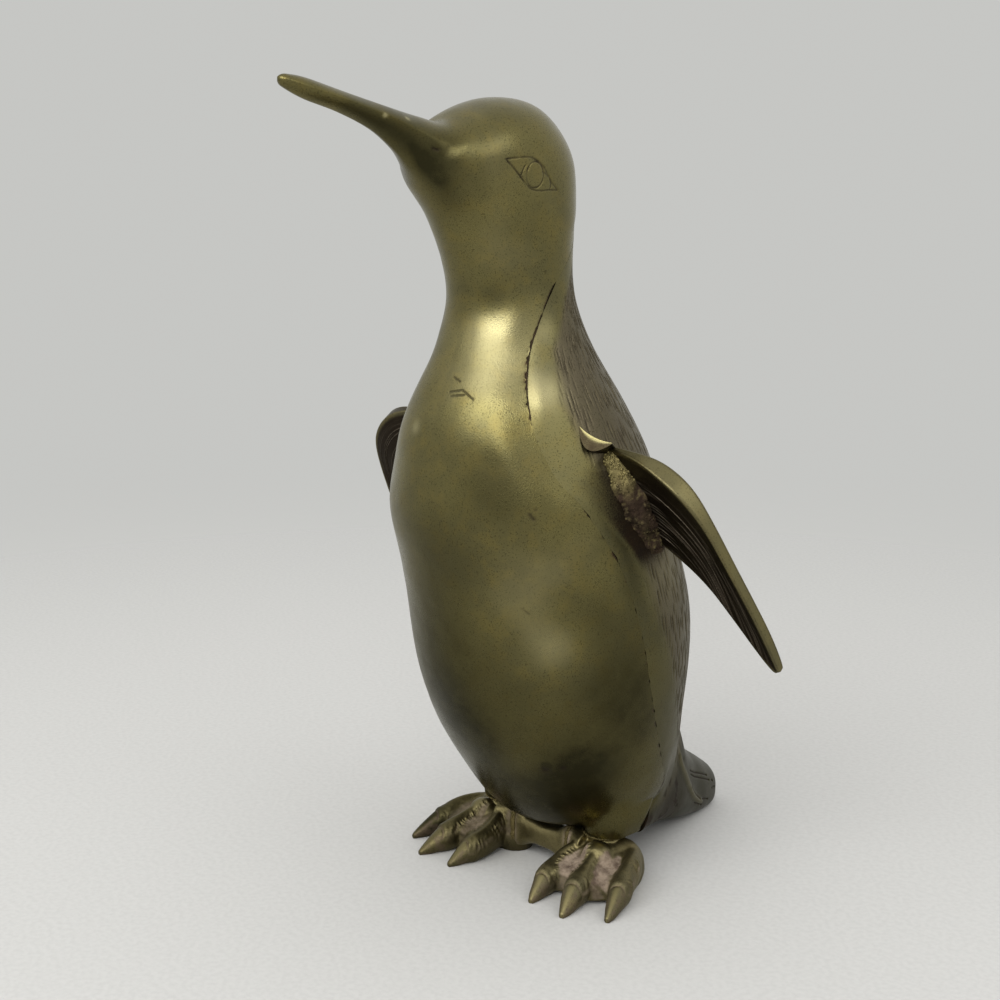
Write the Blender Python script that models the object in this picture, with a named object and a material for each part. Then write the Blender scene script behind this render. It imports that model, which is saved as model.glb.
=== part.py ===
"""Brass penguin figurine, built as hollow castings brazed together.

Two body shells meet along a seam. Two wings and two feet are brazed to them, and a bar
joins the feet. Metres, +Z up; the penguin faces -Y, and its left side is +X.
"""
import math
from typing import NamedTuple

import bmesh
import bpy
from mathutils import Vector


class Level(NamedTuple):
    """A level section through the trunk."""
    height: float
    centre: float
    half_depth: float
    half_width: float


class Tilted(NamedTuple):
    """A section through head or beak, from its throat side to its crown side."""
    throat: tuple
    crown: tuple
    half_width: float
    roundness: float


class Rib(NamedTuple):
    """A section through the tail, square to its length."""
    back: float
    bottom: float
    top: float
    half_width: float


class Chord(NamedTuple):
    """A section through a wing, from its outer to its inner edge, in the wing's own plane."""
    outer: tuple
    inner: tuple
    thickness: float


class Thigh(NamedTuple):
    """A level section through the left thigh."""
    height: float
    middle: tuple
    half_width: float
    half_depth: float


class Joint(NamedTuple):
    """A section through a toe: its middle from the foot of the leg, half width and half height."""
    place: tuple
    half_width: float
    half_height: float


# Fits shared by all pieces, and how far a cutter reaches past the surface that it opens
CLEARANCE = 0.0003
WALL = 0.0040
OVERCUT = 0.0080

# Body sections, from the vent hole in the underside up to the neck
VENT_RADIUS = 0.0060
TRUNK = (
    Level(0.0180, -0.0090, VENT_RADIUS, VENT_RADIUS),
    Level(0.0200, -0.0070, 0.0250, 0.0250),
    Level(0.0280, -0.0075, 0.0345, 0.0350),
    Level(0.0410, -0.0105, 0.0405, 0.0410),
    Level(0.0600, -0.0165, 0.0460, 0.0460),
    Level(0.0810, -0.0195, 0.0500, 0.0500),
    Level(0.1010, -0.0215, 0.0512, 0.0510),
    Level(0.1210, -0.0267, 0.0502, 0.0502),
    Level(0.1410, -0.0335, 0.0487, 0.0485),
    Level(0.1600, -0.0352, 0.0433, 0.0430),
    Level(0.1780, -0.0380, 0.0360, 0.0358),
    Level(0.1950, -0.0392, 0.0268, 0.0266),
    Level(0.2120, -0.0415, 0.0220, 0.0220),
)
# Head sections, fanning forward round the throat into the beak
HEAD = (
    Tilted((-0.0657, 0.2230), (-0.0200, 0.2290), 0.0216, 2.0),
    Tilted((-0.0698, 0.2310), (-0.0178, 0.2450), 0.0220, 2.0),
    Tilted((-0.0738, 0.2380), (-0.0203, 0.2620), 0.0227, 2.0),
    Tilted((-0.0772, 0.2425), (-0.0345, 0.2755), 0.0228, 2.0),
    Tilted((-0.0802, 0.2462), (-0.0515, 0.2777), 0.0208, 2.0),
    Tilted((-0.0832, 0.2500), (-0.0648, 0.2740), 0.0160, 2.0),
    Tilted((-0.0870, 0.2540), (-0.0735, 0.2690), 0.0110, 1.8),
)
BEAK = (
    Tilted((-0.0925, 0.2592), (-0.0835, 0.2702), 0.0085, 1.6),
    Tilted((-0.1020, 0.2653), (-0.0960, 0.2727), 0.0067, 1.6),
    Tilted((-0.1150, 0.2701), (-0.1125, 0.2763), 0.0053, 1.6),
    Tilted((-0.1275, 0.2733), (-0.1270, 0.2796), 0.0042, 1.7),
    Tilted((-0.1364, 0.2772), (-0.1350, 0.2804), 0.0022, 2.0),
)
BEAK_TIP = (0.0, -0.1372, 0.2793)
# The thighs, stumps under the belly that stay in front of the seam
THIGH = (
    Thigh(0.0185, (0.0258, -0.0168), 0.0085, 0.0074),
    Thigh(0.0230, (0.0262, -0.0160), 0.0092, 0.0078),
    Thigh(0.0300, (0.0264, -0.0142), 0.0098, 0.0096),
    Thigh(0.0380, (0.0255, -0.0135), 0.0100, 0.0095),
    Thigh(0.0460, (0.0235, -0.0135), 0.0085, 0.0080),
)

# The seam between the two body castings: height, and angle round from the front in degrees
SEAM = (
    (0.0180, 88.0), (0.0200, 88.0), (0.0280, 97.0), (0.0370, 103.0), (0.0470, 98.0),
    (0.0660, 91.0), (0.0810, 86.0), (0.1000, 82.0), (0.1265, 77.5), (0.1445, 69.0),
    (0.1550, 59.0), (0.1660, 52.0), (0.1740, 51.0), (0.1850, 53.0), (0.1960, 60.0),
    (0.2070, 76.0), (0.2170, 96.0), (0.2245, 120.0), (0.2310, 148.0), (0.2340, 180.0),
)
SEAM_FILLER = 0.0008
SEAM_DEPTH = 0.0003
# The spans of the seam, from the bottom, that the tail's sides may reach
SEAM_TAIL_SPANS = 8

# The tail, a tongue that runs back and down from under the body to the ground
TAIL = (
    Rib(-0.0080, 0.0170, 0.0300, 0.0355),
    Rib(0.0060, 0.0120, 0.0500, 0.0335),
    Rib(0.0220, 0.0065, 0.0680, 0.0275),
    Rib(0.0300, 0.0042, 0.0580, 0.0240),
    Rib(0.0360, 0.0028, 0.0430, 0.0212),
    Rib(0.0450, 0.0008, 0.0320, 0.0176),
    Rib(0.0560, -0.0006, 0.0240, 0.0140),
    Rib(0.0670, -0.0006, 0.0175, 0.0105),
    Rib(0.0720, 0.0020, 0.0125, 0.0060),
)
TAIL_END = (0.0, 0.0735, 0.0070)
TAIL_CROWN_ROUNDNESS = 2.1
TAIL_SKIRT_ROUNDNESS = 3.6

# The wings, measured outward and down from the shoulder in the plane of the plate
SHOULDER = (0.0420, -0.0390, 0.1665)
WING_TILT = math.radians(30.0)
WING_SWEEP = math.radians(10.0)
WING_EDGE_ROUND = 0.0009
WING = (
    Chord((-0.0120, -0.0110), (-0.0120, 0.0340), 0.0054),
    Chord((-0.0025, -0.0068), (-0.0035, 0.0362), 0.0054),
    Chord((0.0035, -0.0006), (0.0005, 0.0382), 0.0056),
    Chord((0.0140, 0.0034), (0.0090, 0.0420), 0.0060),
    Chord((0.0232, 0.0078), (0.0160, 0.0450), 0.0062),
    Chord((0.0316, 0.0156), (0.0212, 0.0495), 0.0062),
    Chord((0.0360, 0.0280), (0.0245, 0.0570), 0.0056),
    Chord((0.0381, 0.0450), (0.0278, 0.0655), 0.0048),
    Chord((0.0399, 0.0600), (0.0308, 0.0735), 0.0042),
    Chord((0.0409, 0.0742), (0.0342, 0.0818), 0.0038),
    Chord((0.0405, 0.0868), (0.0375, 0.0888), 0.0034),
)
# Filler under each wing, from its upper to its lower end along the root
WING_BRAZE_TOP = 0.0040
WING_BRAZE_LOW = 0.0360
WING_BRAZE_RADIUS = 0.0062
WING_BRAZE_THIN = 0.0036
WING_BRAZE_BLUNT = 0.12

# The bar between the feet
BRIDGE_LENGTH = 0.0260
BRIDGE_BACK = -0.0220
BRIDGE_DEPTH = 0.0080
BRIDGE_TOP = 0.0165
BRIDGE_BOTTOM = 0.0020
BRIDGE_WAIST = 0.0026
BRIDGE_BRAZE = 0.0010
BRIDGE_BRAZE_PROUD = 0.0006
BRIDGE_ROUNDNESS = 3.0

# The feet, given for the left one and mirrored; the leg stands off the bar by the land's length
LAND_LENGTH = 0.0109
LAND_BITE = 0.0034
LEG_BACK = -0.0175
LEG_PLACE = (0.5 * BRIDGE_LENGTH + BRIDGE_BRAZE + 2.0 * CLEARANCE + LAND_LENGTH, LEG_BACK)
LEG_RADIUS = 0.0068
LEG_FOOT_RADIUS = 0.0105
LEG_FLARE_BOTTOM = 0.0055
LEG_FLARE_TOP = 0.0146
LEG_BRAZE_WIDTH = 0.0014
LEG_BRAZE_HEIGHT = 0.0011
SOLE = 0.0
GROUND_SIZE = 0.4
TOES = (
    (
        Joint((-0.0020, -0.0025, 0.0085), 0.0048, 0.0075),
        Joint((-0.0063, -0.0115, 0.0082), 0.0040, 0.0070),
        Joint((-0.0074, -0.0195, 0.0062), 0.0038, 0.0058),
        Joint((-0.0062, -0.0245, 0.0050), 0.0047, 0.0058),
        Joint((-0.0053, -0.0282, 0.0038), 0.0040, 0.0044),
        Joint((-0.0045, -0.0324, 0.0018), 0.0026, 0.0026),
        Joint((-0.0039, -0.0351, 0.0006), 0.0010, 0.0010),
    ),
    (
        Joint((0.0025, -0.0015, 0.0088), 0.0052, 0.0078),
        Joint((0.0047, -0.0095, 0.0086), 0.0042, 0.0076),
        Joint((0.0067, -0.0175, 0.0070), 0.0039, 0.0066),
        Joint((0.0080, -0.0235, 0.0055), 0.0050, 0.0064),
        Joint((0.0093, -0.0280, 0.0041), 0.0045, 0.0049),
        Joint((0.0108, -0.0325, 0.0020), 0.0029, 0.0029),
        Joint((0.0117, -0.0357, 0.0006), 0.0010, 0.0010),
    ),
    (
        Joint((0.0092, 0.0030, 0.0080), 0.0052, 0.0072),
        Joint((0.0150, -0.0032, 0.0080), 0.0044, 0.0070),
        Joint((0.0182, -0.0092, 0.0074), 0.0044, 0.0066),
        Joint((0.0202, -0.0144, 0.0060), 0.0049, 0.0061),
        Joint((0.0220, -0.0188, 0.0045), 0.0043, 0.0049),
        Joint((0.0240, -0.0238, 0.0022), 0.0028, 0.0030),
        Joint((0.0251, -0.0272, 0.0007), 0.0010, 0.0010),
    ),
)
# The webs, between two places counted in toe joints from the leg
WEB_BOTTOM = 0.0014
WEB_ROOT_HEIGHT = 0.0150
WEB_FRONT_HEIGHT = 0.0068
WEB_BACK = 0.15
WEB_FRONT = 3.45
WEB_SAG = 0.0035

# Facets
FRONT_COLUMNS = 26
BACK_COLUMNS = 18
STEPS = 2
TOE_SIDES = 10
ROUND_SIDES = 16
BAR_SECTIONS = 7
WEB_ROWS = 5

SIDES = {"left": 1.0, "right": -1.0}


def spline(rows, steps):
    """Points on a smooth curve through rows of numbers, with the given steps in each span."""
    count = len(rows)
    return [spline_at(rows, i / steps) for i in range((count - 1) * steps + 1)]


def spline_at(rows, place):
    """One point on the smooth curve through rows of numbers; whole places are the rows."""
    last = len(rows) - 1
    i = min(max(int(math.floor(place)), 0), last - 1)
    t = place - i
    here, there = rows[i], rows[i + 1]
    before = rows[i - 1] if i > 0 else [2 * a - b for a, b in zip(here, there)]
    after = rows[i + 2] if i + 2 <= last else [2 * b - a for a, b in zip(here, there)]
    out = []
    for p0, p1, p2, p3 in zip(before, here, there, after):
        bend = (2 * p0 - 5 * p1 + 4 * p2 - p3) * t * t + (3 * p1 - p0 - 3 * p2 + p3) * t ** 3
        out.append(0.5 * (2 * p1 + (p2 - p0) * t + bend))
    return out


def rounded(angle, roundness):
    """Cosine and sine of a superellipse: 2 is round, less is a ridge, more is boxy."""
    power = 2.0 / roundness
    cosine, sine = math.cos(angle), math.sin(angle)
    return (math.copysign(abs(cosine) ** power, cosine), math.copysign(abs(sine) ** power, sine))


class Body:
    """The outer surface of the body, by station along it and angle round from the front."""

    def __init__(self):
        rows = [(s.centre - s.half_depth, s.height, s.centre + s.half_depth, s.height,
                 s.half_width, 2.0) for s in TRUNK]
        rows += [(*s.throat, *s.crown, s.half_width, s.roundness) for s in HEAD + BEAK]
        self.rows = rows
        self.last = len(rows) - 1
        self.neck = len(TRUNK) - 1
        self.brow = len(TRUNK) + len(HEAD) - 3

    def point(self, station, angle):
        """The point of the surface at a station and an angle."""
        front_y, front_z, back_y, back_z, half_width, roundness = spline_at(self.rows, station)
        ahead, across = rounded(angle, roundness)
        y = 0.5 * ((front_y + back_y) - (back_y - front_y) * ahead)
        z = 0.5 * ((front_z + back_z) - (back_z - front_z) * ahead)
        return Vector((half_width * across, y, z))

    def slopes(self, station, angle):
        """How the point moves per station, and per radian of angle."""
        step = 0.01
        low, high = max(station - step, 0.0), min(station + step, self.last)
        along = (self.point(high, angle) - self.point(low, angle)) / (high - low)
        around = (self.point(station, angle + step) - self.point(station, angle - step)) / (2 * step)
        return along, around

    def inside(self, station, angle, depth):
        """The point that lies a depth under the surface; a negative depth is outside it."""
        along, around = self.slopes(station, angle)
        return self.point(station, angle) - depth * around.cross(along).normalized()

    def station_at(self, height):
        """The trunk or neck station whose middle is at a height."""
        low, high = 0.0, float(self.brow)
        for _ in range(40):
            middle = 0.5 * (low + high)
            row = spline_at(self.rows, middle)
            if 0.5 * (row[1] + row[3]) < height:
                low = middle
            else:
                high = middle
        return 0.5 * (low + high)

    def holds(self, point):
        """Whether a point at trunk height is inside the body."""
        front_y, _, back_y, _, half_width, _ = spline_at(self.rows, self.station_at(point.z))
        ahead = (2 * point.y - front_y - back_y) / (back_y - front_y)
        return ahead ** 2 + (point.x / half_width) ** 2 < 1.0


BODY = Body()


def seam_line(shift):
    """Stations and angles along the left half of the seam, bottom to nape, moved to the back."""
    half_turn = SEAM[-1][1]
    rows = [(BODY.station_at(height), angle) for height, angle in SEAM]
    line = [(s, math.radians(min(a, half_turn))) for s, a in spline(rows, STEPS)]
    points = [BODY.point(*place) for place in line]
    moved = []
    for i, (station, angle) in enumerate(line):
        along, around = BODY.slopes(station, angle)
        run = points[min(i + 1, len(points) - 1)] - points[max(i - 1, 0)]
        if i == len(points) - 1:
            run = Vector((-1.0, 0.0, 0.0))
        aside = run.cross(around.cross(along)).normalized() * shift
        # Two equations for the shift as a step along the stations and a turn in angle
        a, b, c = along.dot(along), along.dot(around), around.dot(around)
        p, q = aside.dot(along), aside.dot(around)
        step, turn = (p * c - q * b) / (a * c - b * b), (q * a - p * b) / (a * c - b * b)
        if i == 0:
            step = 0.0
        if i == len(line) - 1:
            turn = 0.0
        moved.append((station + step, angle + turn))
    return moved


def add_row(bm, points):
    """New vertices at points."""
    return [bm.verts.new(point) for point in points]


def bridge(bm, row, other):
    """Faces between two rows of vertices of the same length."""
    for i in range(len(row) - 1):
        corners = []
        for vert in (row[i], row[i + 1], other[i + 1], other[i]):
            if vert not in corners:
                corners.append(vert)
        bm.faces.new(corners)


def bridge_all(bm, rows):
    """Faces between each row and the next."""
    for row, other in zip(rows, rows[1:]):
        bridge(bm, row, other)


def fan(bm, row, tip):
    """Faces between a closed row and one tip point."""
    end = bm.verts.new(tip)
    bridge(bm, row, [end] * len(row))


def close(row):
    """A row of vertices that ends where it began."""
    return row + row[:1]


def loft(rings, tip=None, root=None):
    """A closed solid through rings of points, ending in flat caps or in points."""
    bm = bmesh.new()
    rows = [close(add_row(bm, ring)) for ring in rings]
    bridge_all(bm, rows)
    for row, point in ((rows[0], root), (rows[-1], tip)):
        if point is None:
            bm.faces.new(row[:-1])
        else:
            fan(bm, row, point)
    return bm


def to_mesh(bm, name):
    """A mesh of triangles from a closed bmesh, with its faces pointing out."""
    bmesh.ops.recalc_face_normals(bm, faces=bm.faces)
    bmesh.ops.triangulate(bm, faces=bm.faces)
    mesh = bpy.data.meshes.new(name)
    bm.to_mesh(mesh)
    bm.free()
    return mesh


def add_object(name, mesh, parent=None, material=None):
    """A named object in the scene, smooth apart from its sharp edges."""
    obj = bpy.data.objects.new(name, mesh)
    bpy.context.scene.collection.objects.link(obj)
    obj.parent = parent
    mesh.shade_smooth()
    mesh.set_sharp_from_angle(angle=math.radians(40.0))
    if material is not None:
        mesh.materials.append(material)
    return obj


def add_cutter(name, mesh, parent=None):
    """An object that only shapes others."""
    obj = add_object(name, mesh, parent)
    obj.hide_render = True
    obj.display_type = "WIRE"
    return obj


def cut(obj, tool, operation="DIFFERENCE"):
    """A Boolean of an object with a tool."""
    modifier = obj.modifiers.new(tool.name, "BOOLEAN")
    modifier.operation = operation
    modifier.object = tool


def settled(obj):
    """The mesh of an object with its modifiers applied, in its own frame."""
    graph = bpy.context.evaluated_depsgraph_get()
    return bpy.data.meshes.new_from_object(obj.evaluated_get(graph))


def combine(meshes, operation="UNION"):
    """One mesh from the first and the others, by Booleans; all are used up."""
    objects = [add_object(mesh.name, mesh) for mesh in meshes]
    for tool in objects[1:]:
        cut(objects[0], tool, operation)
    mesh = settled(objects[0])
    for obj in objects:
        bpy.data.objects.remove(obj)
    return mesh


def mirrored(mesh, name):
    """A copy of a mesh, mirrored from left to right."""
    bm = bmesh.new()
    bm.from_mesh(mesh)
    for vert in bm.verts:
        vert.co.x = -vert.co.x
    bmesh.ops.reverse_faces(bm, faces=bm.faces)
    copy = bpy.data.meshes.new(name)
    bm.to_mesh(copy)
    bm.free()
    return copy


def sided(mesh, name, side):
    """A copy of a left piece's mesh for one side of the penguin."""
    return mesh.copy() if side > 0.0 else mirrored(mesh, name)


def make_material(name, colour, roughness):
    """Brass of a given colour and roughness."""
    material = bpy.data.materials.new(name)
    material.use_nodes = True
    shader = material.node_tree.nodes["Principled BSDF"]
    shader.inputs["Base Color"].default_value = (*colour, 1.0)
    shader.inputs["Roughness"].default_value = roughness
    shader.inputs["Metallic"].default_value = 1.0
    return material


def front_shell_mesh():
    """Shell of head, beak, breast and belly: open at the back, with a solid beak."""
    half = FRONT_COLUMNS // 2
    line = seam_line(-(0.5 * SEAM_FILLER + CLEARANCE))
    nape = line[-1][0]
    head_step = 1.0 / STEPS
    full_turn = [(math.floor(nape / head_step + 1.5) * head_step + i * head_step, math.pi)
                 for i in range(2 * BODY.last)]
    outer_places = line + [place for place in full_turn if place[0] <= BODY.last]
    inner_places = line + [place for place in full_turn if place[0] <= BODY.brow]

    bm = bmesh.new()

    def skin(places, depth):
        rows = []
        for station, edge in places:
            angles = [edge * j / half for j in range(-half, half + 1)]
            whole = edge == math.pi
            points = [BODY.inside(station, a, depth) if depth else BODY.point(station, a)
                      for a in (angles[:-1] if whole else angles)]
            row = add_row(bm, points)
            rows.append(close(row) if whole else row)
        bridge_all(bm, rows)
        return rows

    outer = skin(outer_places, 0.0)
    inner = skin(inner_places, WALL)
    fan(bm, outer[-1], BEAK_TIP)
    middle = sum((vert.co for vert in inner[-1][:-1]), Vector()) / (len(inner[-1]) - 1)
    fan(bm, inner[-1], middle)
    bridge(bm, outer[0], inner[0])
    for column in (0, -1):
        for k in range(len(line) - 1):
            bm.faces.new((outer[k][column], outer[k + 1][column],
                          inner[k + 1][column], inner[k][column]))
    return to_mesh(bm, "front_casting")


def thigh_mesh():
    """The left thigh, still running on into the hollow of the body."""
    turns = [2 * math.pi * j / ROUND_SIDES for j in range(ROUND_SIDES)]
    rings = []
    for height, middle, half_width, half_depth in THIGH:
        rings.append([(middle[0] + half_width * math.sin(turn),
                       middle[1] - half_depth * math.cos(turn), height) for turn in turns])
    return to_mesh(loft(rings), "thigh")


def front_mesh():
    """Front shell and thighs in one; the thighs bite into the wall but not through it."""
    core = trunk_mesh("core", WALL - CLEARANCE)
    thigh = combine([thigh_mesh(), core], "DIFFERENCE")
    return combine([front_shell_mesh(), thigh.copy(), mirrored(thigh, "right_thigh")])


def back_shell_mesh():
    """Shell of nape, back and flanks, without its tail."""
    half = BACK_COLUMNS // 2
    line = seam_line(0.5 * SEAM_FILLER + CLEARANCE)
    bm = bmesh.new()

    def skin(depth):
        rows = []
        for station, edge in line[:-1]:
            angles = [math.pi + (math.pi - edge) * j / half for j in range(-half, half + 1)]
            rows.append(add_row(bm, [BODY.inside(station, a, depth) for a in angles]))
        top = bm.verts.new(BODY.inside(*line[-1], depth))
        rows.append([top] * len(rows[0]))
        bridge_all(bm, rows)
        return rows

    outer = skin(0.0)
    inner = skin(WALL)
    bridge(bm, outer[0], inner[0])
    for column in (0, -1):
        for k in range(len(line) - 1):
            bm.faces.new((outer[k][column], outer[k + 1][column],
                          inner[k + 1][column], inner[k][column]))
    return to_mesh(bm, "back_casting")


def trunk_mesh(name, depth):
    """The trunk as one solid, drawn in by a depth or grown by a negative one."""
    rings = []
    for k in range(STEPS * BODY.neck + 1):
        turn = [2 * math.pi * j / (2 * FRONT_COLUMNS) for j in range(2 * FRONT_COLUMNS)]
        rings.append([BODY.inside(k / STEPS, angle, depth) for angle in turn])
    return to_mesh(loft(rings), name)


def front_block_mesh():
    """All the space in front of the seam, from below the body up to the shoulders."""
    half = FRONT_COLUMNS // 2
    line = seam_line(0.5 * SEAM_FILLER + 2.0 * CLEARANCE)
    rings = []
    for station, edge in line[:STEPS * SEAM_TAIL_SPANS + 1]:
        angles = [edge * j / half for j in range(-half, half + 1)]
        ring = [BODY.inside(station, angle, -OVERCUT) for angle in angles]
        rear = 0.5 * (BODY.point(station, 0.0) + BODY.point(station, math.pi))
        rings.append([rear] + ring)
    below = [point - Vector((0.0, 0.0, TRUNK[0].height)) for point in rings[0]]
    return to_mesh(loft([below] + rings), "front_block")


def tail_mesh():
    """The tail tongue with its flat resting place, still running on into the body."""
    rings = []
    for back, bottom, top, half_width in spline(TAIL, STEPS):
        middle, half_height = 0.5 * (top + bottom), 0.5 * (top - bottom)
        ring = []
        for j in range(ROUND_SIDES):
            turn = 2 * math.pi * j / ROUND_SIDES
            above = math.cos(turn) > 0.0
            up, out = rounded(turn, TAIL_CROWN_ROUNDNESS if above else TAIL_SKIRT_ROUNDNESS)
            ring.append((half_width * out, back, middle + half_height * up))
        rings.append(ring)
    return to_mesh(loft(rings, tip=TAIL_END), "tail")


def ground_mesh():
    """All the space under the resting plane."""
    bm = bmesh.new()
    bmesh.ops.create_cube(bm, size=GROUND_SIZE)
    bmesh.ops.translate(bm, verts=bm.verts, vec=(0.0, 0.0, SOLE - 0.5 * GROUND_SIZE))
    return to_mesh(bm, "ground")


def vent_mesh():
    """The space straight under the vent hole, a little wider than the hole."""
    wide = VENT_RADIUS + CLEARANCE
    turns = [2 * math.pi * j / ROUND_SIDES for j in range(ROUND_SIDES)]
    rings = [[(wide * math.sin(turn), TRUNK[0].centre - wide * math.cos(turn), height)
              for turn in turns] for height in (SOLE, TRUNK[0].height + OVERCUT)]
    return to_mesh(loft(rings), "vent")


def back_mesh():
    """Back shell and tail in one; the tail bites into the wall but not through it."""
    spaces = [trunk_mesh("core", WALL - CLEARANCE), front_block_mesh(), vent_mesh(), ground_mesh()]
    tail = combine([tail_mesh(), *spaces], "DIFFERENCE")
    return combine([back_shell_mesh(), tail])


def seam_mesh():
    """The run of filler in the seam, up one side, over the nape and down the other."""
    half = 0.5 * SEAM_FILLER
    corners = ((half, SEAM_DEPTH), (-half, SEAM_DEPTH), (-half, WALL), (half, WALL))
    lines = {shift: seam_line(shift) for shift in (half, -half)}
    count = len(lines[half])
    left = [[BODY.inside(*lines[shift][k], depth) for shift, depth in corners]
            for k in range(count)]
    right = [[Vector((-p.x, p.y, p.z)) for p in ring] for ring in reversed(left[:-1])]
    return to_mesh(loft(left + right), "seam_braze")


def wing_mesh(name, grow=0.0):
    """A wing plate in its own frame: outward is +X, down the wing is -Z, the palm is -Y."""
    rows = [(*c.outer, *c.inner, c.thickness) for c in WING]
    rings = []
    for out_x, out_down, in_x, in_down, thickness in spline(rows, STEPS):
        outer, inner = Vector((out_x, 0.0, -out_down)), Vector((in_x, 0.0, -in_down))
        across = (outer - inner).normalized()
        half = 0.5 * thickness + grow
        edge = WING_EDGE_ROUND
        profile = ((outer, grow, half - edge), (outer, grow - edge, half),
                   (inner, edge - grow, half), (inner, -grow, half - edge))
        front = [base + across * shift + Vector((0.0, y, 0.0)) for base, shift, y in profile]
        back = [Vector((p.x, -p.y, p.z)) for p in reversed(front)]
        rings.append(front + back)
    return to_mesh(loft(rings), name)


def place_wing(obj, side):
    """Puts a wing's frame on its shoulder."""
    obj.location = (side * SHOULDER[0], SHOULDER[1], SHOULDER[2])
    obj.rotation_euler = (WING_TILT, 0.0, -side * WING_SWEEP)


def palm_corner(down):
    """Where the palm of the left wing meets the body, at a distance down the wing's root."""
    tilt = Vector((0.0, math.sin(WING_TILT), -math.cos(WING_TILT)))
    outward = Vector((math.cos(WING_SWEEP), -math.sin(WING_SWEEP), 0.0))
    palm = outward.cross(tilt).normalized()
    palm = palm if palm.y < 0.0 else -palm
    start = Vector(SHOULDER) + tilt * down + palm * 0.5 * WING[1].thickness
    low, high = -SHOULDER[0], SHOULDER[0]
    for _ in range(40):
        middle = 0.5 * (low + high)
        if BODY.holds(start + outward * middle):
            low = middle
        else:
            high = middle
    return start + outward * low, outward, palm


def wing_braze_mesh():
    """A rough run of filler in the angle between the left wing's palm and the body, in the world."""
    rings = []
    steps = ROUND_SIDES // 2
    for k in range(steps + 1):
        share = k / steps
        down = WING_BRAZE_TOP + (WING_BRAZE_LOW - WING_BRAZE_TOP) * share
        corner, outward, palm = palm_corner(down)
        swell = math.sin(math.pi * (WING_BRAZE_BLUNT + (1.0 - 2.0 * WING_BRAZE_BLUNT) * share))
        radius = swell * (WING_BRAZE_RADIUS + (WING_BRAZE_THIN - WING_BRAZE_RADIUS) * share)
        ring = []
        for j in range(ROUND_SIDES):
            turn = 2 * math.pi * j / ROUND_SIDES
            ring.append(corner + radius * (math.cos(turn) * outward + math.sin(turn) * palm))
        rings.append(ring)
    return to_mesh(loft(rings), "left_wing_braze")


def toe_place(joint):
    """Where the middle of a toe's section lies for the left foot."""
    ahead_x, ahead_y, height = joint.place
    return LEG_PLACE[0] + ahead_x, LEG_PLACE[1] + ahead_y, SOLE + height


def toe_mesh(joints, name):
    """One toe with its claw, a row of oval sections cut flat by the ground."""
    rows = [(*toe_place(joint), joint.half_width, joint.half_height) for joint in joints]
    path = spline(rows, STEPS)
    rings = []
    for i, (x, y, z, half_width, half_height) in enumerate(path):
        ahead = Vector(path[min(i + 1, len(path) - 1)][:2]) - Vector(path[max(i - 1, 0)][:2])
        across = Vector((-ahead.y, ahead.x)).normalized()
        ring = []
        for j in range(TOE_SIDES):
            turn = 2 * math.pi * j / TOE_SIDES
            side, rise = half_width * math.cos(turn), half_height * math.sin(turn)
            ring.append((x + across.x * side, y + across.y * side, z + rise))
        rings.append(ring)
    return to_mesh(loft(rings), name)


def web_mesh(toe, other, name):
    """The web between two toes, thick at the leg and sagging between them."""
    rows = [[toe_place(joint) for joint in joints] for joints in (toe, other)]
    upper, lower = [], []
    for i in range(WEB_ROWS):
        share = i / (WEB_ROWS - 1)
        joint = WEB_BACK + (WEB_FRONT - WEB_BACK) * share
        ends = [Vector(spline_at(row, joint)) for row in rows]
        height = WEB_ROOT_HEIGHT + (WEB_FRONT_HEIGHT - WEB_ROOT_HEIGHT) * share
        top, bottom = [], []
        for j in range(WEB_ROWS):
            across = j / (WEB_ROWS - 1)
            place = ends[0].lerp(ends[1], across)
            back = WEB_SAG * math.sin(math.pi * across) * share
            top.append((place.x, place.y + back, height))
            bottom.append((place.x, place.y + back, WEB_BOTTOM))
        upper.append(top)
        lower.append(bottom)
    rings = [top + bottom[::-1] for top, bottom in zip(upper, lower)]
    return to_mesh(loft(rings), name)


def leg_mesh():
    """The leg, from a flat sole up to just under the thigh."""
    x, y = LEG_PLACE
    turns = [2 * math.pi * j / ROUND_SIDES for j in range(ROUND_SIDES)]
    levels = ((LEG_FOOT_RADIUS, SOLE - CLEARANCE), (LEG_FOOT_RADIUS, SOLE + LEG_FLARE_BOTTOM),
              (LEG_RADIUS, SOLE + LEG_FLARE_TOP), (LEG_RADIUS, THIGH[0].height - CLEARANCE))
    rings = [[(x + radius * math.cos(turn), y + radius * math.sin(turn), height)
              for turn in turns] for radius, height in levels]
    return to_mesh(loft(rings), "leg")


def bar_rings(start, end, grow, count):
    """Rounded sections of the bar between two places across the feet."""
    rings = []
    for i in range(count):
        x = start + (end - start) * i / (count - 1)
        waist = BRIDGE_WAIST * max(0.0, 1.0 - (2.0 * x / BRIDGE_LENGTH) ** 2)
        half_height = 0.5 * (BRIDGE_TOP - BRIDGE_BOTTOM) - waist + grow
        half_depth = 0.5 * BRIDGE_DEPTH + grow
        middle = 0.5 * (BRIDGE_TOP + BRIDGE_BOTTOM)
        ring = []
        for j in range(ROUND_SIDES):
            up, back = rounded(2 * math.pi * j / ROUND_SIDES, BRIDGE_ROUNDNESS)
            ring.append((x, BRIDGE_BACK + half_depth * back, middle + half_height * up))
        rings.append(ring)
    return rings


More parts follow.
